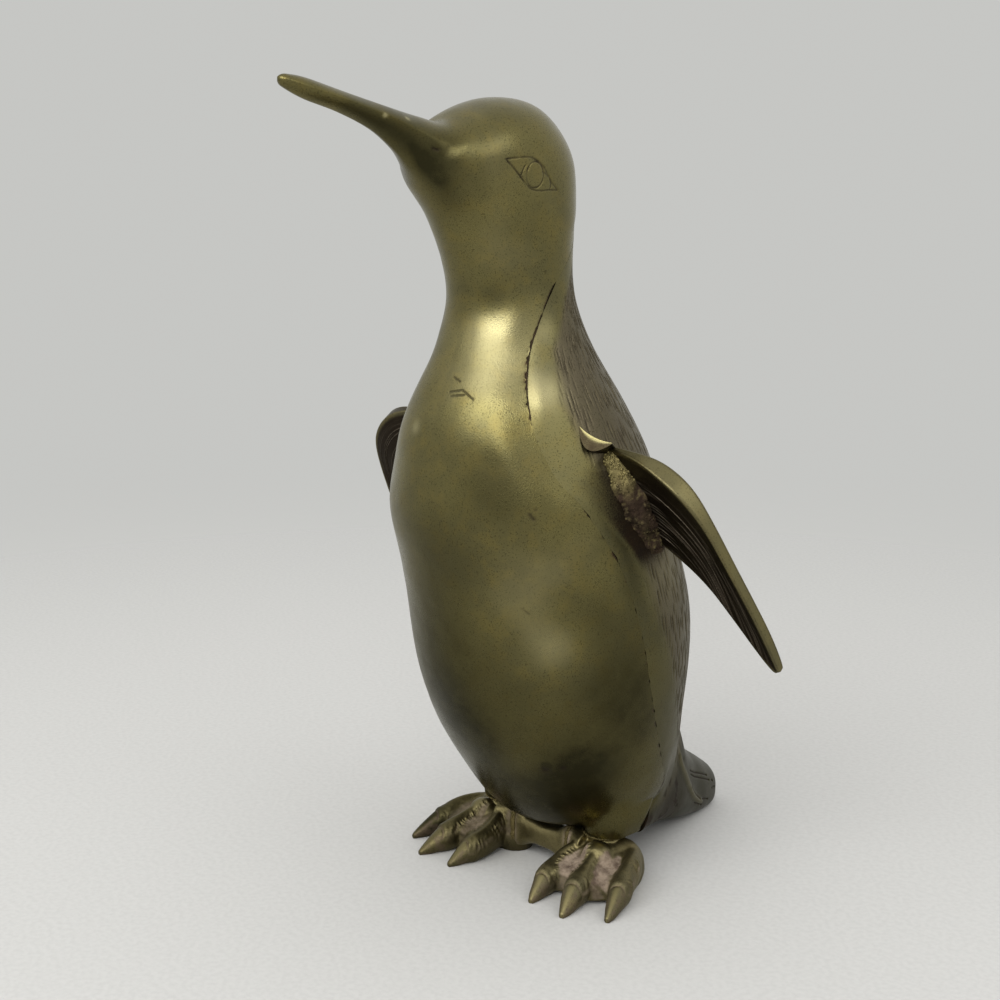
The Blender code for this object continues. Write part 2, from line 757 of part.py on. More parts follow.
def foot_mesh():
    """The left foot: leg, toes, webs and the short land that the bar is brazed to."""
    toes = [toe_mesh(joints, "toe") for joints in TOES]
    webs = [web_mesh(a, b, "web") for a, b in zip(TOES, TOES[1:])]
    land_face = 0.5 * BRIDGE_LENGTH + BRIDGE_BRAZE + 2.0 * CLEARANCE
    land_root = LEG_PLACE[0] - LAND_BITE
    land = to_mesh(loft(bar_rings(land_face, land_root, 0.0, 2)), "land")
    whole = combine([leg_mesh(), *toes, *webs, land])
    return combine([whole, ground_mesh()], "DIFFERENCE")


def leg_braze_mesh():
    """A collar of filler round the top of the left leg, under the thigh."""
    x, y = LEG_PLACE
    near, far = LEG_RADIUS + CLEARANCE, LEG_RADIUS + CLEARANCE + LEG_BRAZE_WIDTH
    top = THIGH[0].height - CLEARANCE
    bm = bmesh.new()
    rings = []
    for j in range(2 * ROUND_SIDES):
        turn = math.pi * j / ROUND_SIDES
        section = [(x + radius * math.cos(turn), y + radius * math.sin(turn), top - drop)
                   for radius, drop in ((near, LEG_BRAZE_HEIGHT), (near, 0.0), (far, 0.0))]
        rings.append(close(add_row(bm, section)))
    bridge_all(bm, close(rings))
    return to_mesh(bm, "left_leg_braze")


def remove_old_objects():
    """Empties the scene."""
    for obj in list(bpy.data.objects):
        bpy.data.objects.remove(obj)


def build_body(root, brass, dark_brass, filler):
    """The two shells, the seam between them, and the hidden trunk that shapes their neighbours."""
    add_object("front_casting", front_mesh(), root, brass)
    add_object("back_casting", back_mesh(), root, dark_brass)
    add_object("seam_braze", seam_mesh(), root, filler)
    return add_cutter("trunk_cutter", trunk_mesh("trunk_cutter", -CLEARANCE), root)


def build_wings(root, trunk, brass, filler):
    """Both wings with their filler, each cut to the body and to each other."""
    plate = wing_mesh("wing")
    grown_plate = wing_mesh("wing_grown", CLEARANCE)
    braze = wing_braze_mesh()
    for name, side in SIDES.items():
        wing = add_object(f"{name}_wing", sided(plate, f"{name}_wing", side), root, brass)
        cutter = add_cutter(f"{name}_wing_cutter", sided(grown_plate, "cutter", side), root)
        for obj in (wing, cutter):
            place_wing(obj, side)
        cut(wing, trunk)
        run = add_object(f"{name}_wing_braze", sided(braze, "braze", side), root, filler)
        cut(run, trunk)
        cut(run, cutter)


def build_feet(root, brass, filler):
    """Both feet, the bar between them and the filler round each of its joints."""
    foot = foot_mesh()
    collar = leg_braze_mesh()
    half = 0.5 * BRIDGE_LENGTH
    bar = to_mesh(loft(bar_rings(-half, half, 0.0, BAR_SECTIONS)), "foot_bridge")
    add_object("foot_bridge", bar, root, brass)
    start = half + CLEARANCE
    disc = to_mesh(loft(bar_rings(start, start + BRIDGE_BRAZE, BRIDGE_BRAZE_PROUD, 2)), "disc")
    for name, side in SIDES.items():
        add_object(f"{name}_foot", sided(foot, f"{name}_foot", side), root, brass)
        add_object(f"{name}_leg_braze", sided(collar, "collar", side), root, filler)
        add_object(f"{name}_bridge_braze", sided(disc, "disc", side), root, filler)


def main():
    """Builds the figurine round the middle of its own footprint."""
    remove_old_objects()
    root = bpy.data.objects.new("penguin", None)
    bpy.context.scene.collection.objects.link(root)
    root.location.y = -0.5 * (BEAK_TIP[1] + TAIL_END[1])
    brass = make_material("front_brass", (0.36, 0.28, 0.11), 0.34)
    dark_brass = make_material("back_brass", (0.22, 0.18, 0.10), 0.45)
    wing_brass = make_material("wing_brass", (0.28, 0.22, 0.11), 0.42)
    foot_brass = make_material("foot_brass", (0.34, 0.26, 0.12), 0.40)
    filler = make_material("filler", (0.24, 0.14, 0.08), 0.65)
    trunk = build_body(root, brass, dark_brass, filler)
    build_wings(root, trunk, wing_brass, filler)
    build_feet(root, foot_brass, filler)


main()
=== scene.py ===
"""Looks of a cast brass penguin figurine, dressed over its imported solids.

Metres, +Z up. The penguin faces -Y and its left side is +X. The sizes of the castings repeat the
solids', in a frame whose origin lies under the body; Bench moves that frame into the model's.
"""
from __future__ import annotations

import logging
import math
from dataclasses import dataclass, field
from enum import Enum
from typing import Any, Callable, Dict, List, Optional, Sequence, Tuple, Union

import bmesh
import bpy
import numpy as np
from mathutils import Euler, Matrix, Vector

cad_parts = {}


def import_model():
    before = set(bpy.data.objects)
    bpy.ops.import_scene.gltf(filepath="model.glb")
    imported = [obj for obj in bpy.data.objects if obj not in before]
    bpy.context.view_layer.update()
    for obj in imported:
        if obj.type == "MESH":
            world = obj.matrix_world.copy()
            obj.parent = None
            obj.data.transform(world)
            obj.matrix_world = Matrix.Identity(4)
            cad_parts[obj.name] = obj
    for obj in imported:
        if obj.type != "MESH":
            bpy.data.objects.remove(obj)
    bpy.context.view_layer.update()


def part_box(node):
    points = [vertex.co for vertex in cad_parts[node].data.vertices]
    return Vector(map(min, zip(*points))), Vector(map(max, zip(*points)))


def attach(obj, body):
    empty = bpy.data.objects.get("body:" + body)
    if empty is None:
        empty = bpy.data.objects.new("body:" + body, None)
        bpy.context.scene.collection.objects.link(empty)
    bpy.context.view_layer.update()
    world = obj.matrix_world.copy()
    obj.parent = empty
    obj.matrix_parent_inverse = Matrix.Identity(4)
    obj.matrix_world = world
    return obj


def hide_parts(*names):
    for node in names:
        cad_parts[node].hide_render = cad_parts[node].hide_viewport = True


LOG = logging.getLogger("penguin")
BODY_NAME = "root"

Array = np.ndarray
Mesh = bpy.types.Mesh
Object = bpy.types.Object
Material = bpy.types.Material
Pair = Tuple[float, float]
Triple = Tuple[float, float, float]
Pairs = Tuple[Pair, ...]
Triples = Tuple[Triple, ...]
Rows = Tuple[Tuple[float, ...], ...]
Number = Union[float, "Wire"]


class Side(Enum):
    """The penguin's own sides, with the sign of their X."""
    LEFT = 1.0
    RIGHT = -1.0


class Slot(Enum):
    """The record's material slots."""
    FRONT = "front_brass"
    BACK = "back_brass"
    WING = "wing_brass"
    FOOT = "foot_brass"
    FILLER = "filler"


class Mark(Enum):
    """Attributes that the finishes read from a piece's mesh."""
    GROOVE = "groove"
    DIRT = "dirt"
    POLISH = "polish"
    GRAIN = "grain"
    TARNISH = "tarnish"
    ACROSS = "across"
    ALONG = "along"
    FEATHER = "feather"


# Numbers over a surface


def ramp(low: Any, high: Any, value: Array) -> Array:
    """A smooth rise from 0 at low to 1 at high."""
    share = np.clip((value - low) / (np.asarray(high) - low), 0.0, 1.0)
    return share * share * (3.0 - 2.0 * share)


def bell(value: Array, width: float) -> Array:
    """A round bump of height 1 at zero, about twice the width wide."""
    return np.exp(-((value / width) ** 2))


def lattice_noise(points: Array, size: float, seed: int) -> Array:
    """Smooth noise from -1 to 1.

    Args:
        points: Places, one row each, in metres.
        size: The size of a lump, in metres.
        seed: Picks another noise.

    Returns:
        One number for each place.
    """
    place = points / size + 37.0 * seed
    cell = np.floor(place).astype(np.int64)
    share = place - cell
    blend = share * share * (3.0 - 2.0 * share)
    total = np.zeros(len(points))
    for corner in np.ndindex(2, 2, 2):
        key = (cell + corner) @ np.array([73856093, 19349663, 83492791]) + seed * 2654435761
        key = (key ^ (key >> 13)) * 1274126177 & 0x7FFFFFFF
        value = (key ^ (key >> 16)) % 65536 / 32767.5 - 1.0
        weight = np.prod(np.where(corner, blend, 1.0 - blend), axis=1)
        total += weight * value
    return total


def rough_noise(points: Array, size: float, seed: int, octaves: int = 3) -> Array:
    """Noise whose lumps carry finer lumps, each octave half the size and height."""
    return sum(lattice_noise(points, size / 2 ** k, seed + k) / 2 ** k for k in range(octaves))


def distance_to_line(places: Array, line: Array) -> Array:
    """The distance to an open run of straight pieces, in two or three axes.

    Args:
        places: Places, one row each.
        line: The corners of the run.

    Returns:
        One distance for each place.
    """
    best = np.full(len(places), np.inf)
    for start, end in zip(line[:-1], line[1:]):
        run = end - start
        share = np.clip((places - start) @ run / (run @ run), 0.0, 1.0)
        best = np.minimum(best, np.linalg.norm(places - start - share[:, None] * run, axis=1))
    return best


def spline(rows: Sequence[Sequence[float]], steps: int) -> Array:
    """Points on a smooth curve through rows of numbers.

    Args:
        rows: The rows that the curve passes through.
        steps: How many points each span between two rows gets.

    Returns:
        One row for each point, from the first row to the last.
    """
    known = np.array(rows, float)
    known = np.vstack([2 * known[0] - known[1], known, 2 * known[-1] - known[-2]])
    place = np.arange((len(rows) - 1) * steps + 1) / steps
    i = np.minimum(place.astype(int), len(rows) - 2)
    t = (place - i)[:, None]
    before, here, there, after = (known[i + k] for k in range(4))
    bend = (2 * before - 5 * here + 4 * there - after) * t ** 2
    bend += (3 * here - before - 3 * there + after) * t ** 3
    return 0.5 * (2 * here + (there - before) * t + bend)


def rounded(angle: Array, roundness: Any) -> Tuple[Array, Array]:
    """Cosine and sine of a superellipse: 2 is round, less has a ridge, more is boxy."""
    power, waves = 2.0 / np.asarray(roundness), (np.cos(angle), np.sin(angle))
    return tuple(np.copysign(np.abs(wave) ** power, wave) for wave in waves)


def tenths(sizes: Any) -> Any:
    """Sizes that are written in tenths of a millimetre, however they are nested, in metres."""
    return tuple(map(tenths, sizes)) if isinstance(sizes, tuple) else sizes / 10000


def unit(vectors: Array) -> Array:
    """The same directions with length 1."""
    return vectors / np.maximum(np.linalg.norm(vectors, axis=-1, keepdims=True), 1e-12)


def circle(count: int) -> Array:
    """Even angles round a full turn."""
    return 2 * math.pi * np.arange(count) / count


def left_half(places: Array) -> Array:
    """Places, with those of the right half mirrored to the left."""
    return np.column_stack([np.abs(places[:, 0]), places[:, 1:]])


# Meshes


class Shell:
    """Collects grids of points and the faces between them."""

    def __init__(self) -> None:
        """Starts with nothing."""
        self.points: List[Array] = []
        self.faces: List[List[int]] = []
        self.count = 0

    def grid(self, points: Array) -> Array:
        """Adds a grid of points.

        Args:
            points: Places, rows by columns.

        Returns:
            Their numbers in the same grid.
        """
        rows, columns = points.shape[:2]
        numbers = self.count + np.arange(rows * columns).reshape(rows, columns)
        self.points.append(points.reshape(-1, 3))
        self.count += rows * columns
        return numbers

    def skin(self, numbers: Array) -> None:
        """Adds a face between each four neighbours of a grid."""
        corners = (numbers[:-1, :-1], numbers[:-1, 1:], numbers[1:, 1:], numbers[1:, :-1])
        self.faces += np.stack(corners, -1).reshape(-1, 4).tolist()

    def loop(self, rings: Array) -> Array:
        """Adds closed rings of points, and gives their numbers with the first column repeated."""
        numbers = self.grid(rings)
        return np.hstack([numbers, numbers[:, :1]])

    def tube(self, rings: Array) -> "Shell":
        """Adds closed rings of points, the skin between them and a flat cap at each end.

        Args:
            rings: Places, rings by points.

        Returns:
            The shell itself.
        """
        closed = self.loop(rings)
        self.skin(closed)
        self.faces += [closed[0, :-1].tolist(), closed[-1, :-1].tolist()]
        return self

    def fan(self, row: Array, tip: Triple) -> None:
        """Adds faces from a row of numbered points to one more point."""
        end = self.grid(np.array(tip).reshape(1, 1, 3))
        self.skin(np.vstack([row, np.full_like(row, end[0, 0])]))

    def mesh(self, name: str, weld: float = 1e-6) -> Mesh:
        """A clean mesh with its faces pointing out.

        Args:
            name: The mesh's name.
            weld: Points nearer than this become one.

        Returns:
            The new mesh.
        """
        mesh = bpy.data.meshes.new(name)
        mesh.from_pydata(np.concatenate(self.points).tolist(), [], self.faces)
        bm = bmesh.new()
        bm.from_mesh(mesh)
        bmesh.ops.remove_doubles(bm, verts=bm.verts, dist=weld)
        bmesh.ops.dissolve_degenerate(bm, edges=bm.edges, dist=weld)
        bmesh.ops.holes_fill(bm, edges=[edge for edge in bm.edges if edge.is_boundary], sides=4)
        bmesh.ops.recalc_face_normals(bm, faces=bm.faces)
        bm.to_mesh(mesh)
        bm.free()
        return mesh


def read_rows(items: Any, name: str) -> Array:
    """Reads three numbers of each of a mesh's items.

    Args:
        items: The points, or their normals.
        name: What is read.

    Returns:
        One row for each item.
    """
    flat = np.empty(3 * len(items), np.float32)
    items.foreach_get(name, flat)
    return flat.reshape(-1, 3).astype(float)


def positions(mesh: Mesh) -> Array:
    """The places of a mesh's points, one row each."""
    return read_rows(mesh.vertices, "co")


def normals(mesh: Mesh) -> Array:
    """The directions in which a mesh's points face."""
    return read_rows(mesh.vertex_normals, "vector")


def set_positions(mesh: Mesh, places: Array) -> None:
    """Moves a mesh's points."""
    mesh.vertices.foreach_set("co", places.astype(np.float32).ravel())
    mesh.update()


def set_mark(mesh: Mesh, mark: Mark, values: Array) -> None:
    """Stores one number for each point of a mesh."""
    attribute = mesh.attributes.get(mark.value) or mesh.attributes.new(mark.value, "FLOAT", "POINT")
    attribute.data.foreach_set("value", np.asarray(values, np.float32))


def mark_values(mesh: Mesh, mark: Mark) -> Array:
    """The strength of a mark.

    Args:
        mesh: The mesh.
        mark: The mark.

    Returns:
        One number for each point.
    """
    values = np.zeros(len(mesh.vertices))
    mesh.attributes[mark.value].data.foreach_get("value", values)
    return values


def relax(mesh: Mesh, weight: Array, rounds: int) -> None:
    """Draws each point towards the middle of its neighbours, by its own weight, round by round.

    Args:
        mesh: The mesh, changed in place.
        weight: How far each point follows, from 0 to 1.
        rounds: How often.
    """
    edges = np.empty(2 * len(mesh.edges), np.int32)
    mesh.edges.foreach_get("vertices", edges)
    first, second = edges.reshape(-1, 2).T
    places = positions(mesh)
    count = len(places)
    valence = np.maximum(np.bincount(np.concatenate([first, second]), minlength=count), 1)[:, None]
    for _ in range(rounds):
        total = np.empty_like(places)
        for axis in range(3):
            total[:, axis] = np.bincount(first, places[second, axis], count)
            total[:, axis] += np.bincount(second, places[first, axis], count)
        places += weight[:, None] * (total / valence - places)
    set_positions(mesh, places)


def refine(mesh: Mesh, near: Callable[[Array], Array], cuts: int) -> None:
    """Splits the edges whose middles lie near fine work.

    Args:
        mesh: The mesh, changed in place.
        near: Says whether places are near.
        cuts: New points on each edge.
    """
    bm = bmesh.new()
    bm.from_mesh(mesh)
    pairs = list(bm.edges)
    middle = np.array([0.5 * (e.verts[0].co + e.verts[1].co) for e in pairs])
    edges = [pairs[k] for k in np.flatnonzero(near(middle))]
    bmesh.ops.subdivide_edges(bm, edges=edges, cuts=cuts, use_grid_fill=True)
    bmesh.ops.triangulate(bm, faces=[f for f in bm.faces if len(f.verts) > 4])
    bm.to_mesh(mesh)
    bm.free()


def new_object(name: str, data: Any) -> Object:
    """An object in the scene, smooth-shaded if it is a mesh.

    Args:
        name: Its name.
        data: Its mesh, lamp or camera.

    Returns:
        The object.
    """
    if isinstance(data, Mesh):
        data.shade_smooth()
    obj = bpy.data.objects.new(name, data)
    bpy.context.scene.collection.objects.link(obj)
    return obj


def settle(obj: Object) -> None:
    """Turns an object's modifiers into plain mesh and removes them.

    Args:
        obj: The object.
    """
    graph = bpy.context.evaluated_depsgraph_get()
    mesh = bpy.data.meshes.new_from_object(obj.evaluated_get(graph))
    obj.modifiers.clear()
    obj.data = mesh
    mesh.name = obj.name


def fuse(piece: Object, other: Object) -> None:
    """Grows another object's shape into a piece and removes that object.

    Args:
        piece: The piece, changed in place.
        other: The object that grows in.
    """
    union = piece.modifiers.new("union", "BOOLEAN")
    union.operation = "UNION"
    union.solver = "MANIFOLD"
    union.object = other
    settle(piece)
    bpy.data.objects.remove(other)


def mirrored(mesh: Mesh) -> Mesh:
    """A copy of a left piece's mesh for the right side, still facing out.

    Args:
        mesh: The left piece's mesh.

    Returns:
        The copy.
    """
    copy = mesh.copy()
    set_positions(copy, positions(copy) * (-1.0, 1.0, 1.0))
    copy.flip_normals()
    return copy


# Node trees


class Wire:
    """A node's output that takes part in Python arithmetic."""

    def __init__(self, graph: "Graph", socket: bpy.types.NodeSocket) -> None:
        """Keeps the graph and the socket."""
        self.graph = graph
        self.socket = socket

    def _math(self, operation: str, *values: Number) -> "Wire":
        """A Math node on these values."""
        return self.graph.wire("ShaderNodeMath", {"operation": operation}, dict(enumerate(values)))

    def __add__(self, other: Number) -> "Wire":
        """The sum."""
        return self._math("ADD", self, other)

    def __sub__(self, other: Number) -> "Wire":
        """The difference."""
        return self._math("SUBTRACT", self, other)

    def __rsub__(self, other: Number) -> "Wire":
        """The difference from a number."""
        return self._math("SUBTRACT", other, self)

    def __mul__(self, other: Number) -> "Wire":
        """The product."""
        return self._math("MULTIPLY", self, other)

    def __truediv__(self, other: Number) -> "Wire":
        """The quotient."""
        return self._math("DIVIDE", self, other)

    def __rtruediv__(self, other: Number) -> "Wire":
        """The quotient of a number by this."""
        return self._math("DIVIDE", other, self)

    __radd__ = __add__
    __rmul__ = __mul__

    def __abs__(self) -> "Wire":
        """The size without its sign."""
        return self._math("ABSOLUTE", self)

    def nearest(self) -> "Wire":
        """The nearest whole number."""
        return self._math("ROUND", self)

    def fraction(self) -> "Wire":
        """What is left above the whole number."""
        return self._math("FRACT", self)

    def rise(self, low: Number, high: Number) -> "Wire":
        """A smooth rise from 0 at low to 1 at high."""
        return self.graph.wire("ShaderNodeMapRange", {"interpolation_type": "SMOOTHSTEP"},
                               {"Value": self, "From Min": low, "From Max": high}, "Result")


class Graph:
    """A node tree that is filled by short calls."""

    def __init__(self, tree: bpy.types.NodeTree) -> None:
        """Empties the tree and keeps it."""
        tree.nodes.clear()
        self.tree = tree

    def add(self, kind: str, settings: Optional[Dict[str, Any]] = None,
            inputs: Optional[Dict[Any, Any]] = None) -> bpy.types.Node:
        """Adds a node.

        Args:
            kind: The node's type.
            settings: Its own properties, set first.
            inputs: Values or wires for its sockets, by name or number.

        Returns:
            The new node.
        """
        node = self.tree.nodes.new(kind)
        for name, value in (settings or {}).items():
            setattr(node, name, value)
        for key, value in (inputs or {}).items():
            socket = node.inputs[key]
            for item in value if isinstance(value, list) else [value]:
                if isinstance(item, Wire):
                    self.tree.links.new(item.socket, socket)
                elif isinstance(item, bpy.types.NodeSocket):
                    self.tree.links.new(item, socket)
                else:
                    socket.default_value = item
        return node

    def wire(self, kind: str, settings: Optional[Dict[str, Any]] = None,
             inputs: Optional[Dict[Any, Any]] = None, output: Any = 0) -> Wire:
        """Adds a node and gives one of its outputs."""
        return Wire(self, self.add(kind, settings, inputs).outputs[output])

    def blend(self, share: Number, first: Any, second: Any) -> Wire:
        """A colour between two, by a share from 0 to 1."""
        return self.wire("ShaderNodeMix", {"data_type": "RGBA", "clamp_factor": True},
                         {0: share, 6: first, 7: second}, 2)


def tint(red: float, green: float, blue: float) -> Tuple[float, float, float, float]:
    """A colour with full alpha, from linear red, green and blue."""
    return (red, green, blue, 1.0)


@dataclass(frozen=True)
class AgedBrass:
    """Brass that has dulled unevenly, with dirt in its hollows and bright metal where it is worn, and with
    painted shade and painted highlights laid into its colour.
    """
    name: str
    metal: Triple
    dull: Triple
    warm: Triple
    roughness: float
    bright: Triple = (0.3, 0.26, 0.11)
    plume: Triple = (0.115, 0.096, 0.07)
    edge: Triple = (0.86, 0.86, 0.84)
    # The dark colour of real tarnish and of painted shade, also used for the specks.
    tarnish: Triple = (0.03, 0.027, 0.012)
    soot: Triple = (0.014, 0.009, 0.005)
    rust: Triple = (0.05, 0.021, 0.012)
    patch_scale: float = 26.0
    mottle_scale: float = 150.0
    speck_scale: float = 2100.0
    grain_height: float = 0.00006

    def material(self) -> Material:
        """The finish as a material that reads object coordinates and the piece's marks.

        Returns:
            The new material.
        """
        material = bpy.data.materials.new(self.name)
        material.use_nodes = True
        graph = Graph(material.node_tree)
        place = graph.wire("ShaderNodeTexCoord", output="Object")

        def noise(scale: float, detail: float, roughness: float) -> Wire:
            """Noise of one scale over the piece."""
            return graph.wire("ShaderNodeTexNoise", None, {"Vector": place, "Scale": scale,
                              "Detail": detail, "Roughness": roughness}, "Fac")

        def mark(kind: Mark) -> Wire:
            """One of the piece's own marks."""
            return graph.wire("ShaderNodeAttribute", {"attribute_name": kind.value}, None, "Fac")

        patches = noise(self.patch_scale, 3.0, 0.55).rise(0.38, 0.66)
        mottle = noise(self.mottle_scale, 5.0, 0.65)
        specks = noise(self.speck_scale, 2.0, 0.5)
        groove, dirt = mark(Mark.GROOVE), mark(Mark.DIRT)
        polish, grain = mark(Mark.POLISH), mark(Mark.GRAIN)
        feather, tarnish = mark(Mark.FEATHER), mark(Mark.TARNISH)

        colour = graph.blend(patches, tint(*self.metal), tint(*self.dull))
        colour = graph.blend(mottle.rise(0.42, 0.72) * 0.55, colour, tint(*self.warm))
        colour = graph.blend(feather * (0.6 + 0.5 * mottle), colour, tint(*self.plume))
        # The tarnish mark darkens the colour both for real tarnish and for painted shade and painted
        # reflections.
        colour = graph.blend(tarnish * (0.7 + 0.6 * mottle), colour, tint(*self.tarnish))
        colour = graph.blend(specks.rise(0.565, 0.665) * 0.55, colour, tint(*self.tarnish))
        # The polish mark brightens the colour both where the metal is worn and where highlights are painted.
        colour = graph.blend(polish * (0.75 + 0.25 * mottle), colour, tint(*self.bright))
        stain = graph.blend(mottle.rise(0.35, 0.6), tint(*self.soot), tint(*self.rust))
        colour = graph.blend((dirt * (0.55 + 0.9 * specks)).rise(0.0, 1.0), colour, stain)
        colour = graph.blend(groove * 0.85, colour, tint(*self.soot))

        rough = self.roughness + 0.16 * (mottle - 0.5) + 0.1 * patches + 0.12 * (specks - 0.5)
        rough = rough - 0.1 * polish + 0.25 * dirt + 0.2 * groove + 0.12 * grain
        height = specks * (0.6 + 1.6 * grain) + 0.2 * mottle
        bump = graph.wire("ShaderNodeBump", None, {"Strength": 1.0, "Distance": self.grain_height,
                          "Height": height}, "Normal")
        shader = graph.add("ShaderNodeBsdfPrincipled", None, {
            "Base Color": colour, "Roughness": rough.rise(-0.1, 1.1), "Specular IOR Level": 0.15,
            "Specular Tint": tint(*self.edge), "Metallic": 1.0 - 0.6 * dirt - 0.45 * groove, "Normal": bump})
        graph.add("ShaderNodeOutputMaterial", None, {"Surface": shader.outputs[0]})
        return material


class NodeTool:
    """A Geometry Nodes tree with named inputs, used once on a piece and then turned into mesh."""

    def __init__(self, name: str, sizes: Sequence[str], seed: str = "NodeSocketInt") -> None:
        """Starts a tree with a mesh going in and out.

        Args:
            name: The tree's name.
            sizes: The names of its sizes.
            seed: The type of its seed.
        """
        tree = bpy.data.node_groups.new(name, "GeometryNodeTree")
        self.graph = Graph(tree)
        self.identifiers: Dict[str, str] = {}
        tree.interface.new_socket("Geometry", in_out="OUTPUT", socket_type="NodeSocketGeometry")
        kinds = {"Geometry": "NodeSocketGeometry", **dict.fromkeys(sizes, "NodeSocketFloat"),
                 "Seed": seed, "Material": "NodeSocketMaterial"}
        for label, kind in kinds.items():
            item = tree.interface.new_socket(label, in_out="INPUT", socket_type=kind)
            self.identifiers[label] = item.identifier
        self.entry = self.graph.add("NodeGroupInput")

    def take(self, name: str) -> Wire:
        """The wire of a named input."""
        return Wire(self.graph, self.entry.outputs[name])

    def mark(self, kind: Mark) -> Wire:
        """One of the piece's own marks."""
        return self.graph.wire("GeometryNodeInputNamedAttribute", {"data_type": "FLOAT"},
                               {"Name": kind.value}, "Attribute")

    def store(self, geometry: Wire, kind: Mark, value: Number) -> Wire:
        """The geometry with a mark stored on its points."""
        return self.graph.wire("GeometryNodeStoreNamedAttribute", {"data_type": "FLOAT"},
                               {"Geometry": geometry, "Name": kind.value, "Value": value})

    def push(self, geometry: Wire, amount: Wire) -> Wire:
        """Moves points outward.

        Args:
            geometry: What is moved.
            amount: How far, in metres.

        Returns:
            The moved geometry.
        """
        shift = self.graph.wire("ShaderNodeVectorMath", {"operation": "SCALE"}, {
            "Vector": self.graph.wire("GeometryNodeInputNormal"), "Scale": amount}, "Vector")
        return self.graph.wire("GeometryNodeSetPosition", None, {"Geometry": geometry, "Offset": shift})

    def balls(self, points: Wire, radius: Number, sizes: Pair, scale: Number, turn: Any) -> Wire:
        """Small balls on points, as plain mesh.

        Args:
            points: Where they sit.
            radius: A ball's own radius.
            sizes: The least and the most of its chance size.
            scale: What that size is multiplied by.
            turn: How each ball is turned.

        Returns:
            The balls.
        """
        ball = self.graph.wire("GeometryNodeMeshIcoSphere", None, {"Radius": radius, "Subdivisions": 2})
        size = self.graph.wire("FunctionNodeRandomValue", {"data_type": "FLOAT"},
                               {2: sizes[0], 3: sizes[1], "Seed": self.take("Seed")}, 1) * scale
        spread = self.graph.wire("GeometryNodeInstanceOnPoints", None, {
            "Points": points, "Instance": ball, "Scale": size, "Rotation": turn})
        return self.graph.wire("GeometryNodeRealizeInstances", None, {"Geometry": spread})

    def finish(self, geometry: Wire) -> None:
        """Ends the tree in plain mesh with its material.

        Args:
            geometry: What the tree gives out.
        """
        real = self.graph.wire("GeometryNodeRealizeInstances", None, {"Geometry": geometry})
        dressed = self.graph.wire("GeometryNodeSetMaterial", None,
                                  {"Geometry": real, "Material": self.take("Material")})
        self.graph.add("NodeGroupOutput", None, {"Geometry": dressed})

    def apply(self, obj: Object, values: Dict[str, Any]) -> None:
        """Runs the tree on an object.

        Args:
            obj: The object, which becomes the plain result.
            values: What each named input is set to.
        """
        modifier = obj.modifiers.new(self.graph.tree.name, "NODES")
        modifier.node_group = self.graph.tree
        for name, value in values.items():
            modifier[self.identifiers[name]] = value
        settle(obj)


class FeatherCutter(NodeTool):
    """Cuts short strokes along a surface, in rows, as a graver does."""

    def __init__(self) -> None:
        """Builds the tree."""
        super().__init__("feather_cutter", ("Pitch", "Width", "Depth", "Stroke"), "NodeSocketFloat")
        graph, pitch, width = self.graph, self.take("Pitch"), self.take("Width")

        def chance(key: Wire, seed: float) -> Wire:
            """A fixed random number for each row of strokes."""
            return graph.wire("ShaderNodeTexWhiteNoise", {"noise_dimensions": "1D"},
                              {"W": key + seed + self.take("Seed")}, "Value")

        across, along = self.mark(Mark.ACROSS), self.mark(Mark.ALONG)
        row = (across / pitch).nearest()
        place = graph.wire("ShaderNodeCombineXYZ", None, {"X": along * 60.0, "Y": row * 3.7})
        sway = graph.wire("ShaderNodeTexNoise", {"noise_dimensions": "2D"},
                          {"Vector": place, "Scale": 1.0, "Detail": 2.0}, "Fac") - 0.5
        aside = across - (row + 0.5 * (chance(row, 0.31) - 0.5) + 0.9 * sway) * pitch
        stroke = self.take("Stroke") * (0.7 + 0.8 * chance(row, 5.7))
        turn = (along / stroke + 7.0 * chance(row, 2.9)).fraction()
        last = 0.45 + 0.5 * chance(row, 8.3)
        stroke = turn.rise(0.02, 0.25) * (1.0 - turn.rise(last - 0.2, last))
        cut = (1.0 - abs(aside).rise(0.2 * width, width)) * stroke * self.mark(Mark.FEATHER)
        cut = cut * (0.45 + 0.55 * chance(row, 11.0))
        stored = self.store(self.take("Geometry"), Mark.GROOVE, cut)
        self.finish(self.push(stored, self.mark(Mark.GROOVE) * (0.0 - self.take("Depth"))))


class GrainScatter(NodeTool):
    """Scatters small grains over a rough run of filler, where its grain mark asks for them."""

    def __init__(self) -> None:
        """Builds the tree."""
        super().__init__("grain_scatter", ("Spacing", "Size"))
        graph, base, spacing = self.graph, self.take("Geometry"), self.take("Spacing")
        points = graph.wire("GeometryNodeDistributePointsOnFaces", {"distribute_method": "POISSON"}, {
            "Mesh": base, "Distance Min": spacing, "Density Max": 1.0 / (spacing * spacing),
            "Density Factor": self.mark(Mark.GRAIN), "Seed": self.take("Seed")})
        turn = graph.wire("FunctionNodeRandomValue", {"data_type": "FLOAT_VECTOR"},
                          {0: (0.0, 0.0, 0.0), 1: (6.28, 6.28, 6.28), "Seed": self.take("Seed")})
        grains = self.balls(points, 1.0, (0.45, 1.0), self.take("Size"), turn)
        smooth = graph.wire("GeometryNodeSetShadeSmooth", None, {"Geometry": grains})
        self.finish(graph.wire("GeometryNodeJoinGeometry", None, {"Geometry": [base, smooth]}))


